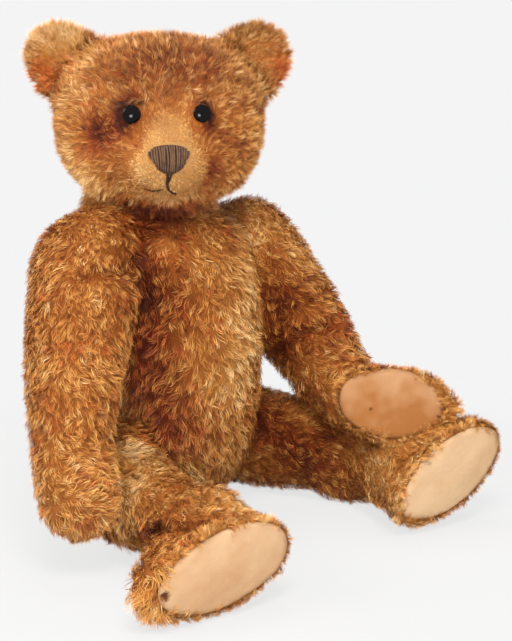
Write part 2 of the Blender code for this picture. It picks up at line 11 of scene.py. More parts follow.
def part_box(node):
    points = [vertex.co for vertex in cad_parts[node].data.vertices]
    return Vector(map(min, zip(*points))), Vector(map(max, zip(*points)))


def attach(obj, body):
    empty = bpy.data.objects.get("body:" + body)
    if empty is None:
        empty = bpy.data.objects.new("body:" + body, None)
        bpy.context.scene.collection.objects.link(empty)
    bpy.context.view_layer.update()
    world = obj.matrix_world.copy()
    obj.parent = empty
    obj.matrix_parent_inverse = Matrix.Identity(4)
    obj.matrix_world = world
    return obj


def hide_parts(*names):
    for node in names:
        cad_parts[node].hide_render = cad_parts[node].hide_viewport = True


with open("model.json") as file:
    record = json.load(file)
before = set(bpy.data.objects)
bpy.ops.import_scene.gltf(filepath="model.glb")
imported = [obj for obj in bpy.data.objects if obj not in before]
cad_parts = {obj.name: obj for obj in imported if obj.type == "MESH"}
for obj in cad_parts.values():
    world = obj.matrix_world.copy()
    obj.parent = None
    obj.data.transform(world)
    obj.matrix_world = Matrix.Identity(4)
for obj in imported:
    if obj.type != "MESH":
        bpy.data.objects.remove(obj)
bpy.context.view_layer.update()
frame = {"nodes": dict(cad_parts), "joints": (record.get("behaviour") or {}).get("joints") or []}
nodes = frame["nodes"]
joints = {j["name"]: j for j in frame["joints"]}
mm = 0.001
print("frame loaded", len(nodes), "nodes")

# camera: where it looks, how far away, from which side, and the picture's size in pixels
camera = dict(aim=(0.08815, 0.02693, 0.1828), distance=1.417, azimuth=-46.66, elevation=12.07,
              focal=1432.0, sensor=36, width=512, height=641)


# the direction from the object to a camera or a lamp, by degrees round it and degrees up
def outward(azimuth, elevation):
    a, e = math.radians(azimuth), math.radians(elevation)
    return Vector((math.sin(a) * math.cos(e), -math.cos(a) * math.cos(e), math.sin(e)))


def makeCamera():
    item = bpy.data.objects.new("camera", bpy.data.cameras.new("camera"))
    bpy.context.scene.collection.objects.link(item)
    back = outward(camera["azimuth"], camera["elevation"])
    item.location = Vector(camera["aim"]) + back * camera["distance"]
    item.rotation_euler = (-back).to_track_quat("-Z", "Y").to_euler()
    item.data.sensor_width = camera["sensor"]
    item.data.lens = camera["focal"] / camera["height"] * camera["sensor"]
    bpy.context.scene.camera = item
    bpy.context.view_layer.update()
    return item


cameraItem = makeCamera()


# a line of sight through one point of the picture
def sight(x, y):
    turnTo = cameraItem.matrix_world.to_3x3()
    f = camera["focal"]
    local = Vector(((x - camera["width"] / 2) / f, (camera["height"] / 2 - y) / f, -1))
    return cameraItem.matrix_world.translation.copy(), (turnTo @ local).normalized()


# node tree helpers; in a keyword, a socket's spaces are written as underscores
def newNode(tree, kind, **values):
    node = tree.nodes.new(kind)
    for key, value in values.items():
        label = key.replace("_", " ")
        if label in node.inputs.keys():
            node.inputs[label].default_value = value
        else:
            setattr(node, key, value)
    return node


# each link is a node and its output, then a node and its input
def wire(tree, *links):
    for start, output, end, entry in links:
        tree.links.new(start.outputs[output], end.inputs[entry])


def newGroup(name, inputs, outputs):
    group = bpy.data.node_groups.new(name, "ShaderNodeTree")
    for label, kind, value in inputs:
        socket = group.interface.new_socket(name=label, in_out="INPUT", socket_type="NodeSocket" + kind)
        if value is not None:
            socket.default_value = value
    for label, kind in outputs:
        group.interface.new_socket(name=label, in_out="OUTPUT", socket_type="NodeSocket" + kind)
    return group, group.nodes.new("NodeGroupInput"), group.nodes.new("NodeGroupOutput")


def place(tree, group, **values):
    node = tree.nodes.new("ShaderNodeGroup")
    node.node_tree = group
    for key, value in values.items():
        node.inputs[key.replace("_", " ")].default_value = value
    return node


def newMaterial(name, roughness=0.8, **sockets):
    made = bpy.data.materials.new(name)
    made.use_nodes = True
    shader = made.node_tree.nodes["Principled BSDF"]
    shader.inputs["Roughness"].default_value = roughness
    for key, value in sockets.items():
        shader.inputs[key.replace("_", " ")].default_value = value
    return made, made.node_tree, shader


def ramp(tree, stops, mode="LINEAR"):
    node = tree.nodes.new("ShaderNodeValToRGB")
    node.color_ramp.interpolation = mode
    while len(node.color_ramp.elements) < len(stops):
        node.color_ramp.elements.new(0.5)
    for element, (spot, colour) in zip(node.color_ramp.elements, stops):
        element.position = spot
        element.color = (*colour, 1)
    return node


# mixes two colours: inputs 6 and 7 take them and output 2 gives the result
def mixColours(tree, blend="MIX", factor=0.5, first=None, second=None):
    node = newNode(tree, "ShaderNodeMix", data_type="RGBA", blend_type=blend)
    node.inputs[0].default_value = factor
    for entry, colour in ((6, first), (7, second)):
        if colour is not None:
            node.inputs[entry].default_value = (*colour, 1)
    return node


# groups shared by several materials
def weaveGroup():
    group, start, end = newGroup("clothWeave", [
        ("Vector", "Vector", None), ("Pitch", "Float", 900.0), ("Worn", "Float", 0.3),
    ], [("Height", "Float"), ("Gaps", "Float")])
    scale = newNode(group, "ShaderNodeVectorMath", operation="SCALE")
    wire(group, (start, "Vector", scale, 0), (start, "Pitch", scale, "Scale"))
    split = newNode(group, "ShaderNodeSeparateXYZ")
    wire(group, (scale, 0, split, 0))
    waves = []
    for a, b in (("X", "Y"), ("Z", "Y")):
        both = newNode(group, "ShaderNodeMath", operation="ADD")
        sine = newNode(group, "ShaderNodeMath", operation="SINE")
        wire(group, (split, a, both, 0), (split, b, both, 1), (both, 0, sine, 0))
        waves.append(sine)
    cross = newNode(group, "ShaderNodeMath", operation="MULTIPLY")
    wire(group, (waves[0], 0, cross, 0), (waves[1], 0, cross, 1))
    fuzz = newNode(group, "ShaderNodeTexNoise", Scale=260.0, Detail=3.0)
    wire(group, (start, "Vector", fuzz, "Vector"))
    blend = newNode(group, "ShaderNodeMix", data_type="FLOAT")
    wire(group, (start, "Worn", blend, 0), (cross, 0, blend, 2), (fuzz, 0, blend, 3),
         (blend, 0, end, "Height"))
    # the gaps between the threads come out darker: painted shade
    gaps = newNode(group, "ShaderNodeMapRange", From_Min=-0.9, From_Max=0.1)
    wire(group, (blend, 0, gaps, 0), (gaps, 0, end, "Gaps"))
    return group


def stainGroup():
    group, start, end = newGroup("softStain", [
        ("Vector", "Vector", None), ("Colour", "Color", (0.5, 0.5, 0.5, 1)),
        ("Stain Colour", "Color", (0.2, 0.1, 0.05, 1)), ("Scale", "Float", 30.0),
        ("Amount", "Float", 0.5),
    ], [("Colour", "Color"), ("Mask", "Float")])
    cloud = newNode(group, "ShaderNodeTexNoise", Detail=5.0, Roughness=0.6)
    wire(group, (start, "Vector", cloud, "Vector"), (start, "Scale", cloud, "Scale"))
    spread = newNode(group, "ShaderNodeMapRange", From_Min=0.42, From_Max=0.72)
    wire(group, (cloud, 0, spread, 0))
    strength = newNode(group, "ShaderNodeMath", operation="MULTIPLY")
    wire(group, (spread, 0, strength, 0), (start, "Amount", strength, 1))
    mix = mixColours(group)
    wire(group, (strength, 0, mix, 0), (start, "Colour", mix, 6), (start, "Stain Colour", mix, 7),
         (mix, 2, end, "Colour"), (strength, 0, end, "Mask"))
    return group


def twistGroup():
    group, start, end = newGroup("twistedYarn", [
        ("Vector", "Vector", None), ("Pitch", "Float", 1800.0),
    ], [("Height", "Float"), ("Shade", "Float")])
    wave = newNode(group, "ShaderNodeTexWave", wave_type="BANDS", bands_direction="DIAGONAL",
                   Distortion=2.0, Detail=2.0)
    wire(group, (start, "Vector", wave, "Vector"), (start, "Pitch", wave, "Scale"))
    wire(group, (wave, "Fac", end, "Height"))
    shade = newNode(group, "ShaderNodeMapRange", To_Min=0.55)
    wire(group, (wave, "Fac", shade, 0), (shade, 0, end, "Shade"))
    return group


weave, stain, twist = weaveGroup(), stainGroup(), twistGroup()

# three palettes side by side in the map: gold, a duller brown for the crown, and rust, which also gives the
# red of painted shade
pileLook = dict(
    palettes=[
        [(0.0, (0.05, 0.008, 0.003)), (0.22, (0.23, 0.046, 0.009)), (0.45, (0.50, 0.172, 0.033)),
         (0.68, (0.70, 0.330, 0.075)), (0.88, (0.86, 0.50, 0.165)), (1.0, (0.95, 0.67, 0.32))],
        [(0.0, (0.05, 0.012, 0.005)), (0.22, (0.16, 0.055, 0.015)), (0.45, (0.34, 0.145, 0.040)),
         (0.68, (0.58, 0.290, 0.090)), (0.88, (0.78, 0.46, 0.175)), (1.0, (0.90, 0.62, 0.32))],
        [(0.0, (0.06, 0.007, 0.003)), (0.22, (0.24, 0.036, 0.009)), (0.45, (0.48, 0.105, 0.024)),
         (0.68, (0.68, 0.200, 0.048)), (0.88, (0.82, 0.34, 0.10)), (1.0, (0.92, 0.52, 0.22))],
    ],
    # along the strand: darkened towards the root as painted shade deep in the pile, a little lighter at the
    # tip
    along=[(0.0, (0.20, 0.145, 0.12)), (0.35, (0.66, 0.59, 0.54)), (0.75, (1, 1, 1)),
           (1.0, (1.12, 1.14, 1.12))],
    gain=1.2, roughness=0.47)


# the place of a tone on the map: each palette takes a third of it
def onMap(tone, palette):
    return (np.clip(tone, 0.02, 0.98) + palette) / 3


def tonesInto(tree, source, output):
    stops = []
    for k, palette in enumerate(pileLook["palettes"]):
        stops += [((k + 0.005 + t * 0.99) / 3, colour) for t, colour in palette]
    node = ramp(tree, stops)
    wire(tree, (source, output, node, 0))
    return node


# pile: across the map is the lock's tone, up the map is root to tip, with the root darkened as painted shade
# deep in the pile
def pileMaterial():
    made, tree, shader = newMaterial("mohairPile", pileLook["roughness"], Specular_IOR_Level=0.26)
    where = newNode(tree, "ShaderNodeUVMap", uv_map="pileMap")
    split = newNode(tree, "ShaderNodeSeparateXYZ")
    tones = tonesInto(tree, split, 0)
    along = ramp(tree, [(s, tuple(v / pileLook["gain"] for v in colour)) for s, colour in pileLook["along"]])
    both = mixColours(tree, "MULTIPLY", 1.0)
    gain = newNode(tree, "ShaderNodeVectorMath", operation="SCALE", Scale=pileLook["gain"])
    wire(tree, (where, 0, split, 0), (split, 1, along, 0), (tones, 0, both, 6), (along, 0, both, 7),
         (both, 2, gain, 0), (gain, 0, shader, "Base Color"))
    return made


# a cloudy stain of one colour in another, laid out in the piece's own space
def cloudOf(tree, colour, stainColour, **values):
    spot = newNode(tree, "ShaderNodeTexCoord")
    cloud = place(tree, stain, Colour=(*colour, 1), Stain_Colour=(*stainColour, 1), **values)
    wire(tree, (spot, "Object", cloud, "Vector"))
    return spot, cloud


# backing cloth: darkened under the pile as painted shade, bare woven gold where the pile has worn away
def backingMaterial():
    made, tree, shader = newMaterial("mohairBacking", 0.85, Specular_IOR_Level=0.2)
    spot, patch = cloudOf(tree, (0.33, 0.175, 0.060), (0.24, 0.105, 0.033), Scale=38.0, Amount=0.55)
    bare = newNode(tree, "ShaderNodeAttribute", attribute_name="bare")
    tone = newNode(tree, "ShaderNodeAttribute", attribute_name="tone")
    cloth = place(tree, weave, Pitch=4200.0, Worn=0.6)
    threads = mixColours(tree, "MULTIPLY", 0.3)
    under = tonesInto(tree, tone, "Fac")
    # painted shade: the backing takes the pile's tones, darkened further
    deep = mixColours(tree, "MULTIPLY", 1.0, second=(0.46, 0.38, 0.34))
    mix = mixColours(tree)
    bump = newNode(tree, "ShaderNodeBump", Strength=0.5, Distance=0.0006)
    wire(tree, (spot, "Object", cloth, "Vector"), (patch, "Colour", threads, 6), (cloth, "Gaps", threads, 7),
         (under, 0, deep, 6), (bare, "Fac", mix, 0), (deep, 2, mix, 6), (threads, 2, mix, 7),
         (mix, 2, shader, "Base Color"), (cloth, "Height", bump, "Height"), (bump, 0, shader, "Normal"))
    return made


def feltMaterial():
    made, tree, shader = newMaterial("padFelt", 0.95, Specular_IOR_Level=0.12)
    spot, cloud = cloudOf(tree, (0.64, 0.43, 0.25), (0.48, 0.275, 0.132), Scale=24.0, Amount=0.42)
    rimHoleDark = newNode(tree, "ShaderNodeAttribute", attribute_name="rimHoleDark")
    padDarkening = newNode(tree, "ShaderNodeAttribute", attribute_name="padDarkening")
    # each pad darkens by its own amount, more towards its bottom and in patches
    worn = mixColours(tree, second=(0.30, 0.115, 0.034))
    # darker towards the rim and in the worn holes
    mix = mixColours(tree, second=(0.10, 0.035, 0.012))
    fibre = newNode(tree, "ShaderNodeTexNoise", Scale=900.0, Detail=4.0)
    speck = mixColours(tree, "MULTIPLY", 0.16)
    bump = newNode(tree, "ShaderNodeBump", Strength=0.35, Distance=0.0008)
    wire(tree, (spot, "Object", fibre, "Vector"), (padDarkening, "Fac", worn, 0), (cloud, "Colour", worn, 6),
         (worn, 2, speck, 6), (fibre, 0, speck, 7), (rimHoleDark, "Fac", mix, 0), (speck, 2, mix, 6),
         (mix, 2, shader, "Base Color"), (fibre, 0, bump, "Height"), (bump, 0, shader, "Normal"))
    return made


def threadMaterial(name, colour, dark):
    made, tree, shader = newMaterial(name, 0.75, Specular_IOR_Level=0.2)
    spot, cloud = cloudOf(tree, colour, dark, Scale=160.0, Amount=0.8)
    yarn = place(tree, twist, Pitch=700.0)
    shade = mixColours(tree, "MULTIPLY", 0.6)
    bump = newNode(tree, "ShaderNodeBump", Strength=0.5, Distance=0.0003)
    wire(tree, (spot, "Object", yarn, "Vector"), (cloud, "Colour", shade, 6), (yarn, "Shade", shade, 7),
         (shade, 2, shader, "Base Color"), (yarn, "Height", bump, "Height"), (bump, 0, shader, "Normal"))
    return made


# the dome of an eye is shallow: its normals lean towards the way it looks
def eyeMaterial():
    made, tree, shader = newMaterial("eyeGlass", 0.06, Specular_IOR_Level=0.15)
    spot, cloud = cloudOf(tree, (0.0015, 0.001, 0.001), (0.006, 0.003, 0.002), Scale=90.0, Amount=0.5)
    flat = newNode(tree, "ShaderNodeVectorMath", operation="ADD")
    flat.inputs[1].default_value = tuple(Vector((math.sin(headYaw), -math.cos(headYaw), 0)) * eyeLean)
    even = newNode(tree, "ShaderNodeVectorMath", operation="NORMALIZE")
    turned = newNode(tree, "ShaderNodeVectorTransform", vector_type="NORMAL", convert_from="OBJECT",
                     convert_to="WORLD")
    wire(tree, (cloud, "Colour", shader, "Base Color"), (spot, "Normal", flat, 0), (flat, 0, even, 0),
         (even, 0, turned, 0), (turned, 0, shader, "Normal"))
    return made


def cardMaterial():
    made, tree, shader = newMaterial("pressedCard", 0.9, Specular_IOR_Level=0.2)
    spot, cloud = cloudOf(tree, (0.42, 0.31, 0.19), (0.27, 0.19, 0.11), Scale=120.0, Amount=0.6)
    bump = newNode(tree, "ShaderNodeBump", Strength=0.3, Distance=0.0004)
    wire(tree, (cloud, "Colour", shader, "Base Color"), (cloud, "Mask", bump, "Height"),
         (bump, 0, shader, "Normal"))
    return made


def steelMaterial():
    made, tree, shader = newMaterial("dullSteel", 0.4, Metallic=0.95)
    spot, cloud = cloudOf(tree, (0.46, 0.45, 0.43), (0.20, 0.13, 0.09), Scale=200.0, Amount=0.6)
    wear = newNode(tree, "ShaderNodeMapRange", To_Min=0.35, To_Max=0.7)
    wire(tree, (cloud, "Colour", shader, "Base Color"), (cloud, "Mask", wear, 0),
         (wear, 0, shader, "Roughness"))
    return made


# how far the head is turned, and how much the eyes' normals lean
headYaw = math.radians(-38)
eyeLean = 0.9
pile, backing, felt = pileMaterial(), backingMaterial(), feltMaterial()
noseThread = threadMaterial("noseThread", (0.155, 0.085, 0.048), (0.055, 0.027, 0.015))
mouthThread = threadMaterial("mouthThread", (0.045, 0.02, 0.012), (0.02, 0.009, 0.006))
eyeGlass, card, steel = eyeMaterial(), cardMaterial(), steelMaterial()
print("materials made")


# mesh helpers
def coat(mesh, look, smooth=False):
    mesh.materials.clear()
    mesh.materials.append(look)
    if smooth:
        for face in mesh.polygons:
            face.use_smooth = True


def newItem(name, mesh, look):
    item = bpy.data.objects.new(name, mesh)
    bpy.context.scene.collection.objects.link(item)
    coat(mesh, look, smooth=True)
    return item


def settle(item):
    bpy.context.view_layer.update()
    done = bpy.data.meshes.new_from_object(item.evaluated_get(bpy.context.evaluated_depsgraph_get()))
    item.modifiers.clear()
    item.data = done
    return done


def pointsOf(mesh):
    co = np.zeros(len(mesh.vertices) * 3)
    mesh.vertices.foreach_get("co", co)
    return co.reshape(-1, 3)


def normalsOf(mesh):
    co = np.zeros(len(mesh.vertices) * 3, np.float32)
    mesh.vertex_normals.foreach_get("vector", co)
    return co.reshape(-1, 3).astype(float)


def movePoints(mesh, co):
    mesh.vertices.foreach_set("co", co.ravel())
    mesh.update()


def treeOf(meshes):
    points, faces = [], []
    for mesh in meshes:
        start = len(points)
        points.extend(v.co.copy() for v in mesh.vertices)
        faces.extend(tuple(start + i for i in p.vertices) for p in mesh.polygons)
    return BVHTree.FromPolygons(points, faces)


def finderOf(points):
    finder = KDTree(len(points))
    for k, p in enumerate(points):
        finder.insert(Vector(p), k)
    finder.balance()
    return finder


def smoothStep(t):
    t = np.clip(t, 0, 1)
    return t * t * (3 - 2 * t)


def unit(v):
    return v / np.maximum(np.linalg.norm(v, axis=-1, keepdims=True), 1e-9)


def setFloat(mesh, name, values):
    layer = mesh.attributes.get(name) or mesh.attributes.new(name, "FLOAT", "POINT")
    layer.data.foreach_set("value", np.asarray(values, np.float32))


neckSpot = np.array(joints["neck_turn"]["pos_m"])


# millimetres from the neck joint, in the head's own directions
def headLocal(points):
    c, s = math.cos(-headYaw), math.sin(-headYaw)
    d = (np.asarray(points) - neckSpot) * 1000
    return np.stack([d[..., 0] * c - d[..., 1] * s, d[..., 0] * s + d[..., 1] * c, d[..., 2]], -1)


def headWorld(x, y, z):
    c, s = math.cos(headYaw), math.sin(headYaw)
    return Vector(neckSpot) + Vector((x * c - y * s, x * s + y * c, z)) * mm


def outOf(name):
    side = 1 if name.startswith("left") else -1
    return Vector(joints[name]["axis"]) * -side


# radius in mm of the plugs for the disc pockets, so that a skin closes over them
pocketPlugs = dict(neck_turn=38.0, left_shoulder_swing=28.0, right_shoulder_swing=28.0,
                   left_hip_swing=35.0, right_hip_swing=35.0)
plugMiddle, plugDepth = 10.4, 19


def plug(bm, joint, direction):
    spot = Vector(joints[joint]["pos_m"]) + direction * plugMiddle * mm
    lie = direction.to_track_quat("Z", "Y").to_matrix().to_4x4()
    radius = pocketPlugs[joint] * mm
    bmesh.ops.create_cone(bm, cap_ends=True, segments=28, radius1=radius, radius2=radius,
                          depth=plugDepth * mm, matrix=Matrix.Translation(spot) @ lie)


# bare cloth: 1 on the worn muzzle, 0 in full pile
muzzle = dict(z=60.0, narrow=27.0, wide=39.0, halfHeight=47.0, drop=38.0, front=-66.0)


def bareness(points):
    p = headLocal(points)
    broad = smoothStep((82 - p[..., 2]) / 40)
    across = p[..., 0] / (muzzle["narrow"] + (muzzle["wide"] - muzzle["narrow"]) * broad)
    up = (p[..., 2] - muzzle["z"]) / np.where(p[..., 2] > muzzle["z"], muzzle["halfHeight"], muzzle["drop"])
    reach = np.sqrt(across ** 2 + up ** 2)
    front = smoothStep((muzzle["front"] - p[..., 1]) / 26)
    return smoothStep((1.12 - reach) / 0.42) * front


# how each skin is made: solid, body, pockets to close, and voxel, inset in mm and rounds of smoothing
limb = dict(voxel=4.2, inset=6.0, rounds=12)
ear = dict(body="head", plugs=[], voxel=2.4, inset=3.0, rounds=5)
skinSpecs = {
    "head": dict(node="head_plush", body="head", plugs=[("neck_turn", (0, 0, 1))], voxel=3.2, inset=5.5,
                 rounds=10),
    "torso": dict(node="torso_plush", body="torso", plugs="all", voxel=5.0, inset=6.0, rounds=14),
    "leftArm": dict(limb, node="left_arm_plush", body="left_arm", plugs=["left_shoulder_swing"]),
    "rightArm": dict(limb, node="right_arm_plush", body="right_arm", plugs=["right_shoulder_swing"]),
    "leftLeg": dict(limb, node="left_leg_plush", body="left_leg", plugs=["left_hip_swing"]),
    "rightLeg": dict(limb, node="right_leg_plush", body="right_leg", plugs=["right_hip_swing"]),
    "leftEar": dict(ear, node="left_ear_plush"),
    "rightEar": dict(ear, node="right_ear_plush"),
}
# lowest height of a skin above the floor, how far round it other pieces are looked for, and from what gap
# to them, and over what further way, it is set in
skinLow, skinReach, insetFrom, insetOver = 0.0015, 0.03, 0.0015, 0.012
padNodes = ["left_paw_pad", "right_paw_pad", "left_foot_pad", "right_foot_pad"]


def weld(mesh, gap):
    bm = bmesh.new()
    bm.from_mesh(mesh)
    bmesh.ops.remove_doubles(bm, verts=bm.verts, dist=gap)
    return bm


# a skin is its solid with the disc pockets filled, remeshed fine, rounded, and set in by the pile's depth
def makeSkin(name, spec):
    mesh = bpy.data.meshes.new(name + "Skin")
    bm = weld(nodes[spec["node"]].data, 1e-6)
    if spec["plugs"] == "all":
        for joint in pocketPlugs:
            plug(bm, joint, Vector((0, 0, -1)) if joint == "neck_turn" else -outOf(joint))
    else:
        for entry in spec["plugs"]:
            joint = entry if isinstance(entry, str) else entry[0]
            plug(bm, joint, outOf(joint) if isinstance(entry, str) else Vector(entry[1]))
    bm.to_mesh(mesh)
    bm.free()
    item = newItem(name + "Skin", mesh, backing)
    step = item.modifiers.new("fine", "REMESH")
    step.mode = "VOXEL"
    step.voxel_size = spec["voxel"] * mm
    step.use_smooth_shade = True
    step = item.modifiers.new("round", "SMOOTH")
    step.factor = 0.5
    step.iterations = spec["rounds"]
    mesh = settle(item)
    mesh.name = name + "Skin"
    near = [nodes[s["node"]].data for s in skinSpecs.values() if s is not spec]
    near += [nodes[n].data for n in padNodes]
    if name == "head":
        near += [nodes["left_eye"].data, nodes["right_eye"].data]
    others = treeOf(near)
    co, normal = pointsOf(mesh), normalsOf(mesh)
    clear = np.array([others.find_nearest(Vector(p), skinReach)[3] or skinReach for p in co])
    bare = bareness(co) if name == "head" else np.zeros(len(co))
    inset = spec["inset"] * mm * smoothStep((clear - insetFrom) / insetOver) * (1 - bare)
    co = co - normal * inset[:, None]
    co[:, 2] = np.maximum(co[:, 2], skinLow)
    movePoints(mesh, co)
    setFloat(mesh, "bare", bare)
    coat(mesh, backing, smooth=True)
    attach(item, spec["body"])
    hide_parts(spec["node"])
    print(name, "skin", len(mesh.polygons), "faces")
    return item


skins = {name: makeSkin(name, spec) for name, spec in skinSpecs.items()}
seenTree = treeOf([s.data for s in skins.values()])


# evens out a mesh: each point moves towards the middle of its neighbours by its weight
def relax(mesh, co, weight, rounds):
    ends = np.zeros(len(mesh.edges) * 2, np.int32)
    mesh.edges.foreach_get("vertices", ends)
    a, b = ends.reshape(-1, 2).T
    count = np.bincount(ends, minlength=len(co))[:, None]
    for _ in range(rounds):
        total = np.zeros_like(co)
        np.add.at(total, a, co[b])
        np.add.at(total, b, co[a])
        co = co + (total / np.maximum(count, 1) - co) * weight[:, None]
    return co


# parts drawn out of a skin: skin, point of the picture, shift in the picture, reach in mm
pulls = [
    ("torso", (96, 210), (-16, -34), 44), ("head", (100, 188), (-7, 5), 26),
    ("head", (232, 182), (8, 2), 30), ("rightArm", (94, 216), (0, -8), 30),
    ("torso", (240, 204), (0, -7), 30), ("leftArm", (262, 206), (-5, -6), 28),
    ("rightLeg", (222, 494), (7, -13), 34), ("leftLeg", (345, 487), (0, 15), 46),
    ("leftArm", (434, 398), (36, 4), 54), ("leftArm", (420, 372), (10, -5), 34),
    ("rightLeg", (146, 590), (-14, 3), 38), ("rightLeg", (160, 612), (-3, 7), 24),
    ("rightLeg", (108, 525), (-4, 6), 32), ("rightArm", (112, 530), (7, 6), 34),
]


# how much nearer points are preferred, and how much and how often the drawn-out place is evened out
pullLook = dict(nearFirst=20, relax=0.7, rounds=8)


def pullSkin(name, spot, shift, reach):
    mesh = skins[name].data
    co = pointsOf(mesh)
    turned = np.array(cameraItem.matrix_world.to_3x3())
    seen = (co - np.array(cameraItem.matrix_world.translation)) @ turned
    flat = seen[:, :2] / -seen[:, 2:] * camera["focal"] * np.array([1, -1])
    flat += np.array([camera["width"] / 2, camera["height"] / 2])
    gap = np.linalg.norm(flat - np.array(spot), axis=1) + (-seen[:, 2]) * pullLook["nearFirst"]
    k = int(gap.argmin())
    way = (turned[:, 0] * shift[0] - turned[:, 1] * shift[1]) * (-seen[k, 2]) / camera["focal"]
    share = 1 - smoothStep(np.linalg.norm(co - co[k], axis=1) / (reach * mm))
    co = relax(mesh, co + way * share[:, None], share * pullLook["relax"], pullLook["rounds"])
    co[:, 2] = np.maximum(co[:, 2], skinLow)
    movePoints(mesh, co)


for pull in pulls:
    pullSkin(*pull)
seenTree = treeOf([s.data for s in skins.values()])

# folds in the stuffed cloth: skin, points of the picture along the fold, reach and depth in mm, and tone, a
# painted shade darkening along the crease
folds = [
    ("leftArm", [(298, 333), (316, 328), (334, 325), (350, 325), (362, 326)], 10, 11.0, -0.42),
    ("leftArm", [(306, 300), (318, 292), (330, 290)], 8, 3.0, -0.12),
    ("rightLeg", [(150, 540), (160, 530), (175, 526), (192, 527), (206, 522)], 10, 12.0, -0.72),
    ("rightLeg", [(159, 534), (162, 519), (171, 509)], 8, 9.0, -0.45),
    ("rightLeg", [(172, 494), (184, 489), (197, 490), (204, 498), (198, 506)], 8, 9.0, -0.45),
    ("rightLeg", [(216, 483), (224, 495), (217, 508)], 7, 5.0, -0.22),
    ("rightLeg", [(112, 470), (125, 466), (138, 474)], 8, 4.0, -0.26),
    ("rightArm", [(78, 277), (95, 272), (110, 274), (126, 270)], 8, 5.0, -0.30),
    ("rightArm", [(22, 428), (34, 428), (46, 434)], 9, 5.0, -0.08),
    ("torso", [(150, 300), (165, 310), (190, 306)], 14, 2.5, -0.08),
    ("head", [(191, 114), (192, 130), (194, 148)], 2.6, 1.3, -0.06),
]
# beside a fold the cloth rises: where, over what width and by what share of the depth; and pile is
# shorter in a fold deeper than deepFrom; tone and pile say how far the fold's painted shade and its shorter
# pile spread
foldLook = dict(ridgeAt=1.1, ridgeWide=0.35, ridge=0.22, deepFrom=3.5, shorter=0.55, tone=0.7, pile=0.8)
foldPaths = []


# where the line of sight through a point of the picture meets the skins
def onSkin(x, y, tree=None):
    start, way = sight(x, y)
    hit = (tree or seenTree).ray_cast(start, way)
    return hit[0]


# distance of each point from a path
def gapTo(path, co):
    nearest = np.full(len(co), np.inf)
    for a, b in zip(path, path[1:]):
        a, b = np.array(a), np.array(b)
        t = np.clip(((co - a) @ (b - a)) / max((b - a) @ (b - a), 1e-9), 0, 1)
        nearest = np.minimum(nearest, np.linalg.norm(co - a - t[:, None] * (b - a), axis=1))
    return nearest


def foldSkin(name, line, reach, depth, change):
    mesh = skins[name].data
    tree = treeOf([mesh])
    path = [h for h in (onSkin(x, y, tree) for x, y in line) if h is not None]
    if len(path) < 2:
        return
    co, normal = pointsOf(mesh), normalsOf(mesh)
    nearest = gapTo(path, co)
    shorter = foldLook["shorter"] if depth > foldLook["deepFrom"] else 0.0
    # the fold's tone, kept for the pile, is painted shade along the crease
    foldPaths.append((path, reach * mm, change, shorter))
    fall = 1 - smoothStep(nearest / (reach * mm))
    ridge = np.exp(-((nearest / (reach * mm) - foldLook["ridgeAt"]) / foldLook["ridgeWide"]) ** 2)
    movePoints(mesh, co + normal * ((ridge * foldLook["ridge"] - fall) * depth * mm)[:, None])


for fold in folds:
    foldSkin(*fold)
seenTree = treeOf([s.data for s in skins.values()])


# the frame of a felt pad, from its solid: long way, short way, outwards
def padPlace(node, host, long, wide, shift):
    co = pointsOf(nodes[node].data)
    middle = co.mean(0)
    _, _, rows = np.linalg.svd(co - middle, full_matrices=False)
    along, across, out = (Vector(r) for r in rows)
    inside = pointsOf(skins[host].data).mean(0)
    if out.dot(Vector(middle - inside)) < 0:
        out = -out
    if along.z > 0:
        along = -along
    across = out.cross(along)
    local = (co - middle) @ np.array([along, across, out]).T
    low = local[:, 2].min()
    halfLong, halfWide = np.abs(local[:, 0]).max() * long, np.abs(local[:, 1]).max() * wide
    return dict(middle=Vector(middle) + out * low + along * shift * mm, along=along, across=across, out=out,
                node=node, host=host, halfLong=halfLong, halfWide=halfWide)


# pads: solid, skin, share of its length and of its width, and shift along it in mm
pads = {
    "leftPawPad": padPlace("left_paw_pad", "leftArm", 1.19, 1.04, 4.5),
    "rightPawPad": padPlace("right_paw_pad", "rightArm", 1.04, 1.04, 0),
    "leftFootPad": padPlace("left_foot_pad", "leftLeg", 0.98, 0.97, -4.0),
    "rightFootPad": padPlace("right_foot_pad", "rightLeg", 1.01, 0.95, 0),
}


# how far out across a pad's oval (1 at its edge), and how far above its back
def padGap(name, p):
    pad = pads[name]
    local = (p - np.array(pad["middle"])) @ np.array([pad["along"], pad["across"], pad["out"]]).T
    return np.sqrt((local[:, 0] / pad["halfLong"]) ** 2 + (local[:, 1] / pad["halfWide"]) ** 2), local[:, 2]
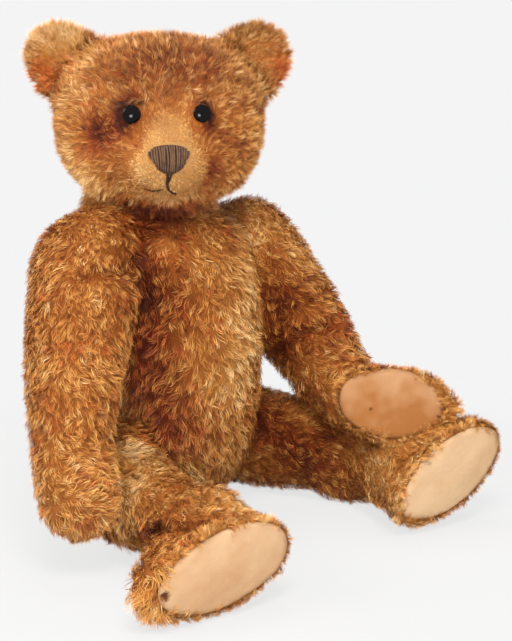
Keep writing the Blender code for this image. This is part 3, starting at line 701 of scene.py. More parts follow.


# stains, golden places, painted light and painted shade, each by a point of the picture, a radius in mm and a
# change of tone
toneLightShadeMarks = [
    (126, 122, 10, -0.5), (124, 107, 10, -0.36), (123, 113, 6, -0.4), (121, 121, 7, -0.4),
    (134, 100, 8, -0.3), (207, 112, 9, -0.46), (209, 126, 8, -0.34), (202, 103, 8, -0.26),
    (211, 118, 6, -0.3), (104, 136, 17, -0.38), (94, 124, 14, -0.2), (226, 140, 15, -0.16),
    (210, 172, 11, -0.32), (165, 62, 36, -0.24), (215, 70, 26, -0.14), (120, 75, 24, -0.14),
    # painted light on the chin's underside at (165, 200), (138, 193) and (192, 194); painted shade in the
    # band under the chin from (165, 212) to (205, 206) and at (165, 218)
    (165, 200, 15, 0.5), (138, 193, 13, 0.3), (192, 194, 13, 0.26), (165, 212, 6, -0.3), (147, 210, 6, -0.3),
    (184, 211, 6, -0.3), (126, 204, 7, -0.34), (205, 206, 6, -0.26), (86, 194, 14, 0.3), (255, 205, 14, 0.2),
    (250, 345, 18, 0.12), (74, 160, 22, 0.26), (90, 188, 22, 0.24), (70, 90, 20, 0.14), (165, 218, 20, -0.1),
    # painted shade, together with stains, on the chest beside the near arm from (150, 225) to (152, 395) and
    # at (175, 435)
    (150, 225, 24, -0.22), (140, 262, 24, -0.42), (146, 300, 26, -0.36), (148, 345, 28, -0.32),
    (152, 395, 30, -0.26), (160, 125, 16, -0.24), (140, 172, 14, 0.2), (190, 165, 12, -0.08),
    # the chest's right side lighter, partly golden pile and partly painted light: (244, 230) to (232, 385)
    # and (250, 345)
    (175, 435, 28, -0.22), (190, 300, 26, -0.08), (244, 230, 22, 0.26), (246, 280, 26, 0.32),
    (244, 330, 26, 0.3), (232, 385, 26, 0.3), (212, 262, 16, 0.06), (163, 246, 9, 0.28),
    # painted shade in the crease between the near arm and the torso at (124, 310) and (124, 380)
    (200, 460, 16, -0.16), (240, 440, 14, 0.14), (102, 205, 16, 0.1), (124, 310, 12, -0.14),
    # painted light on the far arm's top at (300, 245) and (330, 292); painted shade, together with stains, on
    # its inner side at (278, 300), (282, 345) and (272, 262)
    (124, 380, 12, -0.1), (60, 330, 34, -0.02), (300, 245, 26, 0.18), (330, 292, 20, 0.08),
    (278, 300, 22, -0.4), (282, 345, 22, -0.38), (272, 262, 12, -0.18), (318, 345, 20, -0.08),
    (345, 385, 14, -0.08), (455, 400, 22, 0.22), (410, 366, 20, 0.2), (345, 310, 12, 0.1),
    (262, 425, 28, -0.36), (300, 455, 28, -0.3), (335, 472, 24, -0.16), (330, 430, 16, -0.16),
    (378, 475, 28, 0.26), (400, 505, 16, 0.16), (152, 462, 28, 0.36), (195, 470, 22, 0.3),
    (232, 500, 26, 0.26), (265, 530, 14, 0.16), (180, 500, 22, 0.1), (150, 596, 28, -0.02),
    # painted shade in the crease at the near ankle at (152, 532)
    (205, 492, 30, 0.14), (120, 520, 20, 0.04), (152, 532, 9, -0.3), (70, 480, 30, 0.08),
    # painted light on the thigh beside the near arm at (128, 452), (130, 490) and (126, 525), lifting the
    # shade there
    (128, 452, 14, 0.26), (130, 490, 14, 0.28), (126, 525, 12, 0.24), (45, 38, 20, 0.3), (75, 32, 16, 0.26),
    (288, 45, 15, 0.14), (45, 75, 14, -0.06),
]


# rows of a table whose picture point meets a skin, with the point there and the radius in metres
def placed(table):
    rows = []
    for x, y, radius, *rest in table:
        hit = onSkin(x, y)
        if hit is not None:
            rows.append((np.array(hit), radius * mm, *rest))
    return rows


# 1 at a spot or on a line, falling softly to 0 away from it
def nearSpot(points, spot, radius):
    d = np.linalg.norm(points - spot, axis=1) / radius
    return np.exp(-d * d)


def nearLine(points, path, reach, soft):
    return np.exp(-(gapTo(path, points) / reach / soft) ** 2)


toneLightShadeSpots = placed(toneLightShadeMarks)
# the paler rim round each pad is painted light, lifting the shade where the pile meets the pad
toneLook = dict(base=0.56, rim=0.16, rimAt=1.14, rimWide=0.13)


# tone of the pile: the base, a paler rim round each pad as painted light, then the marks (stains, golden
# places, painted light and painted shade) and the folds' painted shade
def toneAt(points):
    tone = np.full(len(points), toneLook["base"])
    for name in pads:
        gap, height = padGap(name, points)
        rim = toneLook["rim"] * np.exp(-((gap - toneLook["rimAt"]) / toneLook["rimWide"]) ** 2)
        tone += rim * smoothStep((height + 0.012) / 0.006)
    for spot, radius, change in toneLightShadeSpots:
        tone += change * nearSpot(points, spot, radius)
    for path, reach, change, _ in foldPaths:
        tone += change * nearLine(points, path, reach, foldLook["tone"])
    return tone


# rusty places and the red of painted shade: point of the picture, radius in mm, share of rust; the places
# under the chin, in the crease between the near arm and the torso and in the far arm's fold are painted
# shade, and those on the chest beside the near arm and on the far arm's inner side are partly rust and partly
# painted shade
rustAndShadeRed = [
    (47, 72, 15, 1.1), (279, 72, 11, 1.0), (104, 138, 18, 0.5), (211, 172, 14, 0.9), (150, 190, 10, 0.3),
    (160, 215, 34, 0.7), (150, 210, 12, 0.3), (185, 210, 12, 0.3), (145, 260, 26, 0.45),
    (150, 340, 30, 0.45), (170, 420, 34, 0.5), (205, 330, 20, 0.2), (126, 300, 12, 0.6), (126, 370, 12, 0.5),
    (280, 330, 26, 0.3), (335, 326, 16, 0.8), (265, 430, 28, 0.3), (40, 300, 22, 0.15), (90, 520, 12, 0.2),
    (104, 345, 8, 0.5),
]
rustAndShadeSpots = placed(rustAndShadeRed)
rustLook = dict(base=0.13, patches=45, spread=0.5, most=0.92)


def rustAndShadeAt(points, seed):
    share = rustLook["base"] + wander(points, rustLook["patches"], seed + 21) * rustLook["spread"]
    for spot, radius, amount in rustAndShadeSpots:
        share += amount * nearSpot(points, spot, radius)
    return np.clip(share, 0, rustLook["most"])


# how much of the duller brown there is: most on the crown, a little behind the ears
def dullAt(points):
    local = headLocal(points)
    high, front = smoothStep((local[:, 2] - 82) / 34), smoothStep((local[:, 1] + 118) / 24)
    return high * front * (0.75 - 0.5 * smoothStep((local[:, 1] + 10) / 50))


# places where the pile is combed another way or left longer: point of the picture, radius in mm,
# way in the picture, weight of that way and factor of the length
combs = [
    (146, 598, 26, (-1.0, 0.5), 1.6, 2.0), (150, 622, 18, (-0.4, 1.0), 1.5, 1.9),
    (458, 402, 30, (1.0, 0.35), 1.8, 2.0), (425, 370, 24, (0.7, -0.6), 1.4, 1.5),
    (112, 530, 24, (-0.3, 1.0), 1.3, 1.4), (162, 250, 14, (-1.0, 0.25), 1.4, 1.0),
    (150, 285, 12, (0.8, 0.8), 1.0, 1.0), (205, 255, 14, (0.9, 0.3), 1.0, 1.0),
    (100, 262, 14, (0.9, 0.2), 1.0, 1.0), (180, 300, 12, (-0.8, 0.3), 1.0, 1.0),
    (242, 265, 16, (-0.5, 1.0), 1.0, 1.1), (90, 175, 20, (-0.4, 1.0), 0.8, 1.1),
    (240, 165, 16, (0.3, 1.0), 0.7, 1.0), (60, 495, 20, (0.4, 1.0), 1.0, 1.0),
    (240, 512, 30, (0.7, 0.5), 0.6, 0.8), (122, 455, 16, (1.0, 0.5), 1.8, 1.9),
    (120, 490, 16, (1.0, 0.6), 1.8, 2.0), (116, 525, 16, (1.0, 0.7), 1.8, 2.0),
    (148, 200, 13, (-0.6, 0.8), 1.0, 1.0), (182, 201, 13, (0.5, 0.9), 1.0, 1.0),
    (128, 102, 7, (0.3, 1.0), 3.5, 3.0), (136, 101, 6, (0.0, 1.0), 3.5, 2.6),
    (202, 104, 6, (0.1, 1.0), 3.5, 2.8), (211, 110, 7, (-1.0, 0.4), 3.5, 2.8),
]


def leanOf(way):
    turned = cameraItem.matrix_world.to_3x3()
    return np.array(turned.col[0] * way[0] - turned.col[1] * way[1])


combSpots = [(spot, radius, leanOf(way) * weight, factor)
             for spot, radius, way, weight, factor in placed(combs)]


def combed(way, points, ups):
    way = np.array(way)
    for spot, radius, lean, _ in combSpots:
        way = way + lean * nearSpot(points, spot, radius)[:, None]
    return acrossUp(way, ups)


def longer(points):
    gain = np.ones(len(points))
    for spot, radius, _, factor in combSpots:
        gain += (factor - 1) * nearSpot(points, spot, radius)
    for path, reach, _, less in foldPaths:
        gain -= less * nearLine(points, path, reach, foldLook["pile"])
    return gain


# low wandering value, one for each point
def wander(points, scale, seed):
    shift = Vector((seed * 3.7, seed * 1.9, seed * 5.3))
    return np.array([noise.noise(Vector(p) * scale + shift) for p in points])


# draws root points on a mesh, more where weight is high
def scatter(mesh, count, weight, rng):
    mesh.calc_loop_triangles()
    tri = np.zeros(len(mesh.loop_triangles) * 3, np.int32)
    mesh.loop_triangles.foreach_get("vertices", tri)
    tri = tri.reshape(-1, 3)
    co, normal = pointsOf(mesh), normalsOf(mesh)
    a, b, c = co[tri[:, 0]], co[tri[:, 1]], co[tri[:, 2]]
    area = np.linalg.norm(np.cross(b - a, c - a), axis=1) / 2
    share = area * weight((a + b + c) / 3)
    pick = rng.choice(len(tri), count, p=share / share.sum())
    u, v = rng.random(count), rng.random(count)
    over = u + v > 1
    u[over], v[over] = 1 - u[over], 1 - v[over]
    w = 1 - u - v
    t = tri[pick]
    points = co[t[:, 0]] * w[:, None] + co[t[:, 1]] * u[:, None] + co[t[:, 2]] * v[:, None]
    ups = normal[t[:, 0]] * w[:, None] + normal[t[:, 1]] * u[:, None] + normal[t[:, 2]] * v[:, None]
    return points, unit(ups)


def acrossUp(way, up):
    return unit(way - up * (way * up).sum(1)[:, None])


def spin(way, up, angle):
    c, s = np.cos(angle)[:, None], np.sin(angle)[:, None]
    return way * c + np.cross(up, way) * s


# how strands are set, in metres: how far free room is looked for, how much of it is left free, how much
# brings a strand to its full height, how deep its root and how far off the floor it is, and how a
# piece laid over the pile is looked for
strandLook = dict(room=0.02, skip=0.0002, spare=0.001, full=0.012, deep=0.0008, low=0.0004, lowSpread=0.0006,
                  coverStart=0.003, coverReach=0.0055, tipSpread=0.0015)


# locks of curly pile, each a bundle of tapering strands that share a curl and lean together
def growPile(name, skin, body, spec, flow, lengthAt, seed):
    rng = np.random.default_rng(seed)
    mesh = skin.data
    root, up = scatter(mesh, spec["strands"], spec["density"], rng)
    others = [s.data for k, s in skins.items() if s is not skin and skinSpecs[k]["body"] != body]
    wall = treeOf(others)
    covers = treeOf([nodes[n].data for n in spec["covers"]]) if spec["covers"] else None
    look = strandLook
    room = np.full(len(root), look["room"])
    keep = np.ones(len(root), bool)
    for k, (p, n) in enumerate(zip(root, up)):
        way = Vector(n)
        start = Vector(p)
        hit = wall.ray_cast(start + way * look["skip"], way, look["room"])
        if hit[0] is not None:
            room[k] = hit[3]
        if covers is not None:
            hit = covers.ray_cast(start - way * look["coverStart"], way, look["coverReach"])
            keep[k] = hit[0] is None
    root, up, room = root[keep], up[keep], room[keep]
    lockRoot, lockUp = scatter(mesh, spec["locks"], spec["density"], rng)
    finder = finderOf(lockRoot)
    mine = np.array([finder.find(Vector(p))[1] for p in root])
    swirl = wander(lockRoot, 28, seed) * spec["swirl"] + wander(lockRoot, 90, seed + 3) * spec["swirl"] * 0.9
    swirl += rng.normal(0, spec["stray"], len(lockRoot))
    lockWay = spin(combed(flow(lockRoot, lockUp), lockRoot, lockUp), lockUp, swirl)
    lockLength = lengthAt(lockRoot) * longer(lockRoot) * rng.uniform(0.8, 1.2, len(lockRoot))
    lockTone = rng.normal(0, spec["toneSpread"], len(lockRoot)) + wander(lockRoot, 60, seed + 7) * 0.20
    lockPhase = rng.uniform(0, 2 * math.pi, len(lockRoot))
    lockLift = rng.uniform(0.75, 1.25, len(lockRoot)) * spec["rise"] * mm
    n = len(root)
    way = spin(acrossUp(lockWay[mine], up), up, rng.normal(0, 0.22, n))
    side = np.cross(up, way)
    length = np.minimum(lengthAt(root) * longer(root), lockLength[mine]) * rng.uniform(0.82, 1.12, n)
    share = np.clip((room - look["spare"]) / look["full"], 0.06, 1.0)
    sized = length / (spec["length"] * mm)
    rise = lockLift[mine] * np.clip(sized, 0.35, 1.25) * share * rng.uniform(0.75, 1.15, n)
    tip = lockRoot[mine] + lockWay[mine] * lockLength[mine][:, None] * 0.92 + lockUp[mine] * rise[:, None]
    tip += rng.normal(0, look["tipSpread"], (n, 3))
    curl = spec["curl"] * mm * rng.uniform(0.7, 1.3, n)
    phase = lockPhase[mine] + rng.normal(0, 0.35, n)
    rows = spec["rows"]
    points = np.zeros((n, rows, 3))
    for k in range(rows):
        s = k / (rows - 1)
        loose = root + way * (length * s)[:, None] + up * (rise * math.sin(s * 1.75))[:, None]
        inLock = root * (1 - s) + tip * s + up * (rise * 0.35 * math.sin(s * math.pi))[:, None]
        gather = spec["clump"] * s ** 1.3
        spot = loose * (1 - gather) + inLock * gather
        sway = np.sin(phase + s * spec["waves"] * 2 * math.pi) - np.sin(phase)
        bob = np.cos(phase + s * spec["waves"] * 2 * math.pi) - np.cos(phase)
        spot += side * (curl * sway * s ** 0.5)[:, None] + up * (curl * 0.45 * bob * s * share)[:, None]
        points[:, k] = spot
    points[:, 0] -= up * look["deep"]
    points[:, :, 2] = np.maximum(points[:, :, 2], look["low"] + rng.random((n, 1)) * look["lowSpread"])
    flat = unit(np.cross(points[:, -1] - points[:, 0], up))
    roll = rng.normal(0, 0.55, n)
    flat = flat * np.cos(roll)[:, None] + up * np.sin(roll)[:, None]
    width = spec["width"] * mm * rng.uniform(0.7, 1.3, n) * np.clip(sized, 0.45, 1.1)
    verts = np.zeros((n, rows * 2 - 1, 3))
    for k in range(rows - 1):
        half = flat * (width * (1 - 0.6 * (k / (rows - 1)) ** 2) / 2)[:, None]
        verts[:, 2 * k] = points[:, k] - half
        verts[:, 2 * k + 1] = points[:, k] + half
    verts[:, -1] = points[:, -1]
    tone = np.clip(toneAt(root) + spec["tone"] + lockTone[mine] + rng.normal(0, 0.09, n), 0.02, 0.98)
    draw = 0.6 * rng.random(len(lockRoot))[mine] + 0.4 * rng.random(n) + spec.get("dull", 0) * 0.5
    palette = np.where(draw < rustAndShadeAt(lockRoot, seed)[mine], 2, 0)
    dull = np.maximum(spec.get("dull", 0.05), dullAt(root) if body == "head" else 0)
    palette = np.where((palette == 0) & (rng.random(n) < dull), 1, palette)
    return strandItem(name, verts, onMap(tone, palette), body)


# all strands of one pile as one mesh of tapering strips, mapped by tone and from root to tip
def strandItem(name, verts, tone, body):
    n, count = verts.shape[:2]
    steps = (count - 1) // 2
    mesh = bpy.data.meshes.new(name)
    mesh.vertices.add(n * count)
    mesh.vertices.foreach_set("co", verts.reshape(-1))
    pattern = []
    for k in range(steps - 1):
        pattern += [2 * k, 2 * k + 1, 2 * k + 3, 2 * k + 2]
    pattern = np.array(pattern + [2 * steps - 2, 2 * steps - 1, 2 * steps])
    corners = len(pattern)
    base = np.arange(n)[:, None]
    mesh.loops.add(n * corners)
    mesh.loops.foreach_set("vertex_index", (base * count + pattern).ravel().astype(np.int32))
    mesh.polygons.add(n * steps)
    mesh.polygons.foreach_set("loop_start", (base * corners + 4 * np.arange(steps)).ravel().astype(np.int32))
    mesh.update(calc_edges=True)
    along = np.minimum(pattern // 2, steps) / steps
    sideways = np.where(pattern == 2 * steps, 0, (pattern % 2) * 2 - 1) * 0.0015
    uv = np.zeros((n, corners, 2))
    uv[:, :, 0] = tone[:, None] + sideways[None, :]
    uv[:, :, 1] = 0.01 + 0.98 * along[None, :]
    for layer in ("pileMap", "OFBake"):
        mesh.uv_layers.new(name=layer).uv.foreach_set("vector", uv.ravel().astype(np.float32))
    item = newItem(name, mesh, pile)
    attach(item, body)
    print(name, n, "strands")
    return item


eyeSpots = [np.array(sum(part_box(n), Vector()) / 2) for n in ("left_eye", "right_eye")]


# head: pile flows back from the nose, shorter round the eyes and worn away on the muzzle
headPile = dict(front=5.5, back=2.3, byEye=0.5, eyeFrom=0.008, eyeOver=0.014, worn=0.6, thin=0.62)


def headFlow(p, n):
    noseTip = np.array(headWorld(0, -112, 60))
    return acrossUp(p - noseTip + np.array([0, 0, 0.01]), n)


def eyeGap(p):
    return np.minimum(*(np.linalg.norm(p - e, axis=1) for e in eyeSpots))


earLocal = headLocal(pointsOf(nodes["left_ear_plush"].data))
earCentre = (float(earLocal[:, 0].mean()), float(earLocal[:, 2].mean()))


def headLength(p):
    local = headLocal(p)
    back = smoothStep((local[:, 1] + 95) / 70)
    base = headPile["front"] + headPile["back"] * back
    away = smoothStep((eyeGap(p) - headPile["eyeFrom"]) / headPile["eyeOver"])
    base *= headPile["byEye"] + (1 - headPile["byEye"]) * away
    return base * mm * (1 - headPile["worn"] * bareness(p))


def headDensity(p):
    return headPile["thin"] + (1 - headPile["thin"]) * (1 - bareness(p))


# the pile of a limb: shorter by its pad, thicker round the pad's rim and none on the pad
def limbLength(padName, base=9.5, rim=7.5, reach=0.022):
    def lengthAt(p):
        gap, height = padGap(padName, p)
        near = smoothStep((1.5 - gap) / 0.4) * smoothStep((height + reach) / (reach * 0.8))
        return (base + (rim - base) * near) * mm
    return lengthAt


# round a pad the pile turns: in some places over its edge, in others away from it
def limbFlow(padName):
    pad = pads[padName]
    middle, goal = np.array(pad["middle"]), np.array(pad["middle"] + pad["out"] * 0.032)

    def flow(p, n):
        gap, height = padGap(padName, p)
        border = smoothStep((1.34 - gap) / 0.16) * smoothStep((height + 0.009) / 0.005)
        side = np.where(wander(p, 70, 4) > -0.12, -1.3, 1.5)
        way = acrossUp(goal - p, n) * (1 - border)[:, None] + unit(p - middle) * (side * border)[:, None]
        return acrossUp(way, n)
    return flow


def limbDensity(padName):
    def density(p):
        gap, height = padGap(padName, p)
        above = smoothStep((height + 0.012) / 0.005)
        border = smoothStep((1.30 - gap) / 0.1) * smoothStep((gap - 0.92) / 0.06) * above
        inside = smoothStep((0.95 - gap) / 0.03) * above
        return (1 + 2.2 * border) * (1 - inside)
    return density


def torsoFlow(p, n):
    down = np.zeros_like(p)
    down[:, 2] = -1
    down[:, 0] += (p[:, 0] - neckSpot[0]) * 2.0
    return acrossUp(down, n)


# an ear: short in the cup, long and pale towards the rim
def earLength(side):
    def lengthAt(p):
        local = headLocal(p)
        out = np.linalg.norm(local[:, [0, 2]] - np.array([side * earCentre[0], earCentre[1]]), axis=1)
        rim = smoothStep((out - 12) / 12)
        return (5.2 + 4.6 * rim) * mm
    return lengthAt


def earFlow(side):
    base = np.array(headWorld(side * 60, 4, 105))
    return lambda p, n: acrossUp(p - base, n)


# piles: counts of strands and locks, then length, rise, width and curl of a strand in mm, points along it,
# waves in it, how far a lock gathers it, how far locks turn, and how much tones differ
common = dict(length=9.5, rise=5.0, width=0.47, rows=3, curl=1.15, waves=0.55, clump=0.5, swirl=1.1,
              stray=0.45, toneSpread=0.145, tone=0.0, density=lambda p: np.ones(len(p)), covers=[])
earPile = dict(common, strands=14000, locks=1500, length=8.0, rise=3.2, width=0.42, rows=2)
pileSpecs = {
    "head": dict(common, strands=88000, locks=13000, length=7.0, rise=4.2, width=0.42, rows=2, clump=0.45,
                 stray=0.6, toneSpread=0.165, density=headDensity,
                 covers=["left_eye", "right_eye", "nose_stitching"]),
    "torso": dict(common, strands=57000, locks=8600),
    "leftArm": dict(common, strands=39000, locks=5800, density=limbDensity("leftPawPad")),
    "rightArm": dict(common, strands=40000, locks=5800, density=limbDensity("rightPawPad")),
    "leftLeg": dict(common, strands=42000, locks=6200, density=limbDensity("leftFootPad")),
    "rightLeg": dict(common, strands=43000, locks=6200, density=limbDensity("rightFootPad")),
    "leftEar": earPile, "rightEar": earPile,
}

# the way and the length of each pile
growing = {
    "head": (headFlow, headLength), "torso": (torsoFlow, lambda p: np.full(len(p), common["length"] * mm)),
    "leftArm": (limbFlow("leftPawPad"), limbLength("leftPawPad")),
    "rightArm": (limbFlow("rightPawPad"), limbLength("rightPawPad")),
    "leftLeg": (limbFlow("leftFootPad"), limbLength("leftFootPad")),
    "rightLeg": (limbFlow("rightFootPad"), limbLength("rightFootPad", 9.5, 7.0)),
    "leftEar": (earFlow(1), earLength(1)), "rightEar": (earFlow(-1), earLength(-1)),
}
# painted shade: the skin's tone is lowered under the pile
paintedShadeUnderPile = 0.08
for skinIndex, (skinName, skinItem) in enumerate(skins.items()):
    setFloat(skinItem.data, "tone", onMap(toneAt(pointsOf(skinItem.data)) - paintedShadeUnderPile, 0))
    growPile(skinName + "Fur", skinItem, skinSpecs[skinName]["body"], pileSpecs[skinName], *growing[skinName],
             seed=11 + skinIndex)


# short fuzz left on the worn muzzle
fuzzSpec = dict(common, strands=15000, locks=4000, length=3.0, rise=1.1, width=0.4, rows=2, curl=0.3,
                clump=0.3, stray=0.9, swirl=1.6, toneSpread=0.08, tone=0.13, dull=0.4,
                density=lambda p: 0.001 + bareness(p), covers=["nose_stitching"])
growPile("muzzleFuzz", skins["head"], "head", fuzzSpec, headFlow,
         lambda p: np.full(len(p), fuzzSpec["length"] * mm), seed=41)


# felt pads: a domed oval with a turned-in rim, soft dents and sewn edge
padLook = dict(rings=28, around=100, thick=2.3, dome=2.4, dent=0.9, stitchPitch=5.2, cloth=1.2,
               rim=0.86, sink=0.6, ripple=0.25, pucker=0.35, holeDeep=2.2, holeLip=0.35)
# how much each pad is darkened, more towards its bottom
padDarkLevel = {"leftPawPad": 0.90, "rightPawPad": 0.5, "leftFootPad": 0.0, "rightFootPad": 0.32}
# worn holes: point of the picture, radius in mm and how dark
padHoles = {"leftPawPad": [(371, 409, 1.6, 0.9)], "rightPawPad": [], "leftFootPad": [],
            "rightFootPad": [(167, 598, 4.2, 1.0)]}


def noiseAt(x, y, z):
    return noise.noise(Vector((x, y, z)))


def padMesh(name, pad, holes):
    a, b, look = pad["halfLong"] * 1000, pad["halfWide"] * 1000, padLook
    points, rimHoleDark, faces = [], [], []
    frameOf = Matrix((pad["along"], pad["across"], pad["out"])).transposed().to_4x4()
    lie = Matrix.Translation(pad["middle"]) @ frameOf
    back = lie.inverted()
    spots = []
    for x, y, radius, dark in holes:
        start, way = sight(x, y)
        top = pad["middle"] + pad["out"] * (look["thick"] + look["dome"]) * mm
        reach = (top - start).dot(pad["out"]) / way.dot(pad["out"])
        hit = back @ (start + way * reach)
        spots.append((hit.x * 1000, hit.y * 1000, radius, dark))
    for r in range(look["rings"] + 1):
        t = r / look["rings"]
        for k in range(look["around"]):
            angle = 2 * math.pi * k / look["around"]
            c, s = math.cos(angle), math.sin(angle)
            uneven = 1 + 0.05 * noiseAt(c * 1.6, s * 1.6, len(name) * 2.3)
            x, y = c * a * t * uneven, s * b * t * uneven
            fall = max(0.0, (t - look["rim"]) / 0.14)
            turnedIn = 1 - math.sqrt(max(0.0, 1 - fall ** 2))
            z = look["thick"] + look["dome"] * (1 - t * t) - (look["thick"] + look["sink"]) * turnedIn
            z += look["dent"] * noiseAt(x * 0.05, y * 0.05, len(name)) * (1 - fall)
            z += look["ripple"] * noiseAt(x * 0.2, y * 0.2, 3.0) * (1 - fall)
            pucker = math.sin(angle * round(math.pi * (a + b) / look["stitchPitch"]))
            z -= look["pucker"] * max(0, pucker) * smoothStep((t - 0.80) / 0.10) * (1 - fall)
            # darker towards the rim, and in the worn holes
            darkening = 0.42 * smoothStep((t - 0.82) / 0.2) * (0.5 + noiseAt(x * 0.08, y * 0.08, 9.0))
            for hx, hy, radius, dark in spots:
                d = math.hypot(x - hx, y - hy) / radius
                z -= dark * look["holeDeep"] * float(1 - smoothStep((d - 0.45) / 0.5))
                z += look["holeLip"] * math.exp(-((d - 1.25) / 0.25) ** 2) * dark
                darkening = max(darkening, dark * float(1 - smoothStep((d - 0.85) / 0.3)))
            points.append(lie @ (Vector((x, y, z)) * mm))
            rimHoleDark.append(min(1.0, max(0.0, darkening)))
    n = look["around"]
    for r in range(look["rings"]):
        for k in range(n):
            o = (k + 1) % n
            faces.append((r * n + k, (r + 1) * n + k, (r + 1) * n + o, r * n + o))
    mesh = bpy.data.meshes.new(name)
    mesh.from_pydata(points, [], faces)
    bm = weld(mesh, 1e-7)
    bm.to_mesh(mesh)
    bm.free()
    finder = finderOf(points)
    setFloat(mesh, "rimHoleDark", [rimHoleDark[finder.find(v.co)[1]] for v in mesh.vertices])
    co = pointsOf(mesh)
    # darker towards the bottom of each pad, and in patches
    high = (co[:, 2] - co[:, 2].min()) / np.ptp(co[:, 2])
    patchy = (0.10 + 0.22 * padDarkLevel[name]) * (wander(co, 32, 6) + 0.4 * wander(co, 120, 2))
    setFloat(mesh, "padDarkening", np.clip(padDarkLevel[name] * (1.22 - 0.5 * high) + patchy, 0, 1))
    return mesh


# adds a closed tube along a path to a mesh's points and faces
def tubeInto(points, faces, path, radius, around=6):
    start = len(points)
    last = None
    for k, spot in enumerate(path):
        ahead = (path[min(k + 1, len(path) - 1)] - path[max(k - 1, 0)]).normalized()
        last = ahead.orthogonal() if last is None else last - ahead * last.dot(ahead)
        last = last.normalized()
        other = ahead.cross(last)
        size = radius[k] if hasattr(radius, "__len__") else radius
        for m in range(around):
            angle = 2 * math.pi * m / around
            points.append(spot + last * (math.cos(angle) * size) + other * (math.sin(angle) * size))
    for k in range(len(path) - 1):
        for m in range(around):
            o = (m + 1) % around
            i, j = start + k * around, start + (k + 1) * around
            faces.append((i + m, i + o, j + o, j + m))
    faces.append(tuple(start + m for m in reversed(range(around))))
    faces.append(tuple(start + (len(path) - 1) * around + m for m in range(around)))


def meshItem(name, points, faces, look):
    mesh = bpy.data.meshes.new(name)
    mesh.from_pydata(points, [], faces)
    mesh.update()
    return newItem(name, mesh, look)


def makePad(name, pad):
    item = newItem(name, padMesh(name, pad, padHoles[name]), felt)
    step = item.modifiers.new("cloth", "SOLIDIFY")
    step.thickness = padLook["cloth"] * mm
    step.offset = -1
    settle(item)
    body = skinSpecs[pad["host"]]["body"]
    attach(item, body)
    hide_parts(pad["node"])
    return item


for padName, padSpec in pads.items():
    makePad(padName, padSpec)
print("pads sewn")


# nose and mouth
headTree = treeOf([skins["head"].data])
nose = dict(middle=-1.6, top=74.0, height=24.5, width=36.5, threads=17, rows=8, radius=0.80, lift=1.5)
mouth = dict(drop=12.0, lift=0.75)


# the point of the face in front of a place in the head's frame, lifted off it, and the way out there
def faceSpot(x, z, lift):
    start, way = headWorld(x, -200, z), headWorld(x, 0, z) - headWorld(x, -200, z)
    hit = headTree.ray_cast(start, way.normalized())
    out = hit[1] if hit[1].dot(way) < 0 else -hit[1]
    return hit[0] + out * lift * mm, out


# the nose: a ground of threads in the darker mouth thread, painted shade in the gaps between the stitches,
# and over it the upright stitches, each a little uneven
def makeNose():
    rng = np.random.default_rng(5)
    for layer in (0, 1):
        points, faces = [], []
        count = nose["threads"] + 4 * (1 - layer)
        for c in range(count):
            u = (-1 + 2 * c / (count - 1)) * 0.97
            path, size = [], []
            shift, slack = rng.normal(0, 0.028), rng.normal(0, 0.35)
            for r in range(nose["rows"] + 1):
                v = r / nose["rows"]
                bent = (u + shift * math.sin(v * math.pi)) * nose["width"] / 2
                x = nose["middle"] + bent * (1 - 0.13 * v) * (0.97 if layer == 0 else 1)
                low = 0.36 + 0.64 * (1 - u * u) ** 0.55
                down = (1 - v) * (0.14 * u * u + 0.12 * u ** 8) + v * low
                z = nose["top"] - nose["height"] * down - slack * v * layer
                ends = math.sin(math.pi * min(1.0, max(0.0, v * 0.94 + 0.03)))
                lift = -0.9 + (nose["lift"] + 0.75 * layer) * ends ** 0.45 + 0.6 * (1 - u * u)
                path.append(faceSpot(x, z, lift)[0])
                size.append(nose["radius"] * mm * (0.85 + 0.2 * (1 - v)) * (1.25 if layer == 0 else 1))
            tubeInto(points, faces, path, size, 6)
        # the ground takes the darker mouth thread: painted shade between the stitches
        pieceName, look = ("noseStitches", noseThread) if layer else ("noseGround", mouthThread)
        item = meshItem(pieceName, points, faces, look)
        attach(item, "head")
    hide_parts("nose_stitching")


# two plies twisted round each other along a line on the face
def twisted(points, faces, line, radius, turns):
    fine = []
    for before, after in zip(line, line[1:]):
        for s in range(6):
            t = s / 6
            fine.append([m0 + (m1 - m0) * t for m0, m1 in zip(before, after)])
    fine.append(list(line[-1]))
    for ply in (0, 1):
        path = []
        for k, (x, z) in enumerate(fine):
            spot, out = faceSpot(x, z, mouth["lift"])
            if k < len(fine) - 1:
                x2, z2 = fine[k + 1]
            else:
                x2, z2 = 2 * x - fine[k - 1][0], 2 * z - fine[k - 1][1]
            ahead = (faceSpot(x2, z2, mouth["lift"])[0] - spot).normalized()
            sideways = ahead.cross(out).normalized()
            angle = turns * 2 * math.pi * k / len(fine) + ply * math.pi
            path.append(spot + (sideways * math.cos(angle) + out * math.sin(angle)) * radius * 0.8 * mm)
        tubeInto(points, faces, path, radius * mm, 6)


# threads of the mouth: points from the top of each stitch in mm, radius in mm and turns
centreThreads = [
    ([(0.2, 2), (0.4, -4), (0, -8), (0.6, -mouth["drop"])], 0.95, 4),
    ([(4.4, 2.2), (2.6, -3), (1.4, -7)], 0.6, 3),
]
branchThreads = [
    ([(0.4, 1), (2.0, -2.4), (5.0, -5.0), (8.6, -6.4)], 0.72, 4),
    ([(-3.6, -1.2), (-7, -3.0), (-12, -3.6), (-19, -2.2)], 0.42, 6),
]


def stitchItem(name, x, z, threads):
    points, faces = [], []
    for line, radius, turns in threads:
        twisted(points, faces, [(x + across, z + up) for across, up in line], radius, turns)
    return meshItem(name, points, faces, mouthThread)


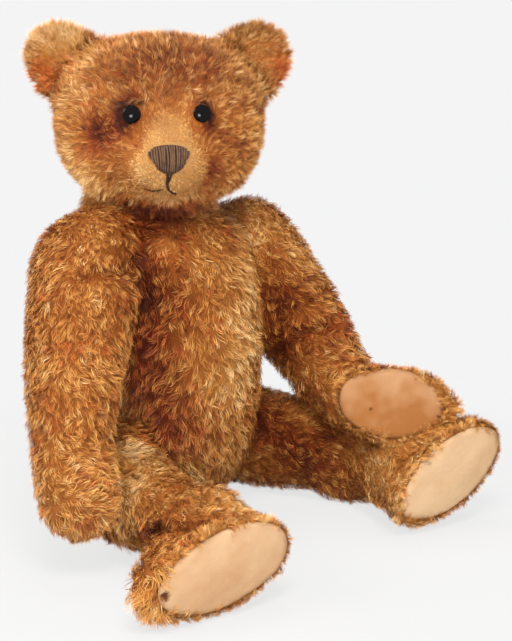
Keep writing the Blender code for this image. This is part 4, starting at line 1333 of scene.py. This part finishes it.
def makeMouth():
    low = nose["top"] - nose["height"] - 0.5
    at = nose["middle"] - 2.2
    centre = stitchItem("mouthCentreStitch", at, low, centreThreads)
    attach(centre, "head")
    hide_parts("mouth_centre_stitch")
    branch = stitchItem("mouthBranchStitch", at, low - mouth["drop"], branchThreads)
    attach(branch, "head")
    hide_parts("mouth_branch_stitch")


makeNose()
makeMouth()
print("face stitched")

# pieces that keep their solid and take a better finish
for nodeName, node in nodes.items():
    if nodeName.endswith("_eye"):
        coat(node.data, eyeGlass)
        step = node.modifiers.new("join", "WELD")
        step.merge_threshold = 1e-6
        step = node.modifiers.new("round", "SUBSURF")
        step.levels = step.render_levels = 2
    elif nodeName.endswith("_disc") or nodeName.endswith("_insole"):
        coat(node.data, card)
    elif nodeName.endswith("_washer") or nodeName.endswith("_pin"):
        coat(node.data, steel)


# floor, light and background: the floor's colour as seen and as it lights the object, its glow, and
# where it fades into the background
stageLook = dict(floor=(0.095, 0.095, 0.0955), bounce=(0.60, 0.60, 0.60), glow=0.735, back=0.905, near=0.30,
                 far=0.62, half=6.0, drop=0.0006)
backColour = (stageLook["back"], stageLook["back"], stageLook["back"] * 1.003, 1)


# 1 where a ray shows the background: seen straight, mirrored or through glass
def shownMask(tree):
    seen = newNode(tree, "ShaderNodeLightPath")
    mirrored = newNode(tree, "ShaderNodeMath", operation="MAXIMUM")
    shown = newNode(tree, "ShaderNodeMath", operation="MAXIMUM")
    wire(tree, (seen, "Is Camera Ray", mirrored, 0), (seen, "Is Glossy Ray", mirrored, 1),
         (mirrored, 0, shown, 0), (seen, "Is Transmission Ray", shown, 1))
    return shown


def makeStage():
    mesh = bpy.data.meshes.new("floor")
    half = stageLook["half"]
    corners = [(-half, -half, 0), (half, -half, 0), (half, half, 0), (-half, half, 0)]
    mesh.from_pydata(corners, [], [(0, 1, 2, 3)])
    made, tree, shader = newMaterial("paleFloor", 0.9, Specular_IOR_Level=0.1)
    out = tree.nodes["Material Output"]
    glow = newNode(tree, "ShaderNodeEmission")
    shown = shownMask(tree)
    paper = mixColours(tree, first=stageLook["bounce"], second=stageLook["floor"])
    weight = newNode(tree, "ShaderNodeMath", operation="MULTIPLY")
    weight.inputs[1].default_value = stageLook["glow"]
    total = newNode(tree, "ShaderNodeAddShader")
    back = newNode(tree, "ShaderNodeEmission", Color=backColour)
    spot = newNode(tree, "ShaderNodeTexCoord")
    distance = newNode(tree, "ShaderNodeVectorMath", operation="LENGTH")
    fade = newNode(tree, "ShaderNodeMapRange", interpolation_type="SMOOTHSTEP", From_Min=stageLook["near"],
                   From_Max=stageLook["far"])
    away = newNode(tree, "ShaderNodeMath", operation="MULTIPLY")
    mix = newNode(tree, "ShaderNodeMixShader")
    wire(tree, (shown, 0, paper, 0), (paper, 2, shader, "Base Color"), (shown, 0, weight, 0),
         (weight, 0, glow, "Strength"), (shader, 0, total, 0), (glow, 0, total, 1),
         (spot, "Object", distance, 0), (distance, "Value", fade, "Value"), (fade, 0, away, 0),
         (shown, 0, away, 1), (away, 0, mix, 0), (total, 0, mix, 1), (back, 0, mix, 2),
         (mix, 0, out, "Surface"))
    item = newItem("floor", mesh, made)
    item.location.z = -stageLook["drop"]


def makeWorld():
    world = bpy.data.worlds.new("studio")
    bpy.context.scene.world = world
    world.use_nodes = True
    tree = world.node_tree
    light = tree.nodes["Background"]
    light.inputs["Color"].default_value = (1.0, 0.99, 0.975, 1)
    light.inputs["Strength"].default_value = 0.49
    plain = newNode(tree, "ShaderNodeBackground", Color=backColour)
    mix = newNode(tree, "ShaderNodeMixShader")
    wire(tree, (shownMask(tree), 0, mix, 0), (light, 0, mix, 1), (plain, 0, mix, 2),
         (mix, 0, tree.nodes["World Output"], "Surface"))


warm, white = (1.0, 0.98, 0.95), (1.0, 1.0, 1.0)
lamps = {
    "keySoftbox": dict(azimuth=-42, elevation=50, distance=1.5, size=0.6, power=27.5, colour=warm),
    "sideSoftbox": dict(azimuth=-112, elevation=30, distance=1.6, size=0.7, power=13.0, colour=warm),
    "eyeLight": dict(azimuth=-48, elevation=4, distance=1.15, size=0.25, power=5.0, colour=white),
    "topSoftbox": dict(azimuth=140, elevation=68, distance=1.5, size=0.8, power=9.0, colour=white),
}
lampAim = (0.03, 0.03, 0.22)


def makeLamps():
    for name, look in lamps.items():
        lamp = bpy.data.lights.new(name, "AREA")
        lamp.shape = "SQUARE"
        lamp.size = look["size"]
        lamp.energy = look["power"]
        lamp.color = look["colour"]
        item = bpy.data.objects.new(name, lamp)
        bpy.context.scene.collection.objects.link(item)
        way = outward(look["azimuth"], look["elevation"])
        item.location = Vector(lampAim) + way * look["distance"]
        item.rotation_euler = (-way).to_track_quat("-Z", "Y").to_euler()
        item.visible_glossy = name != "keySoftbox"


makeStage()
makeWorld()
makeLamps()
bpy.context.scene.view_settings.view_transform = "Standard"
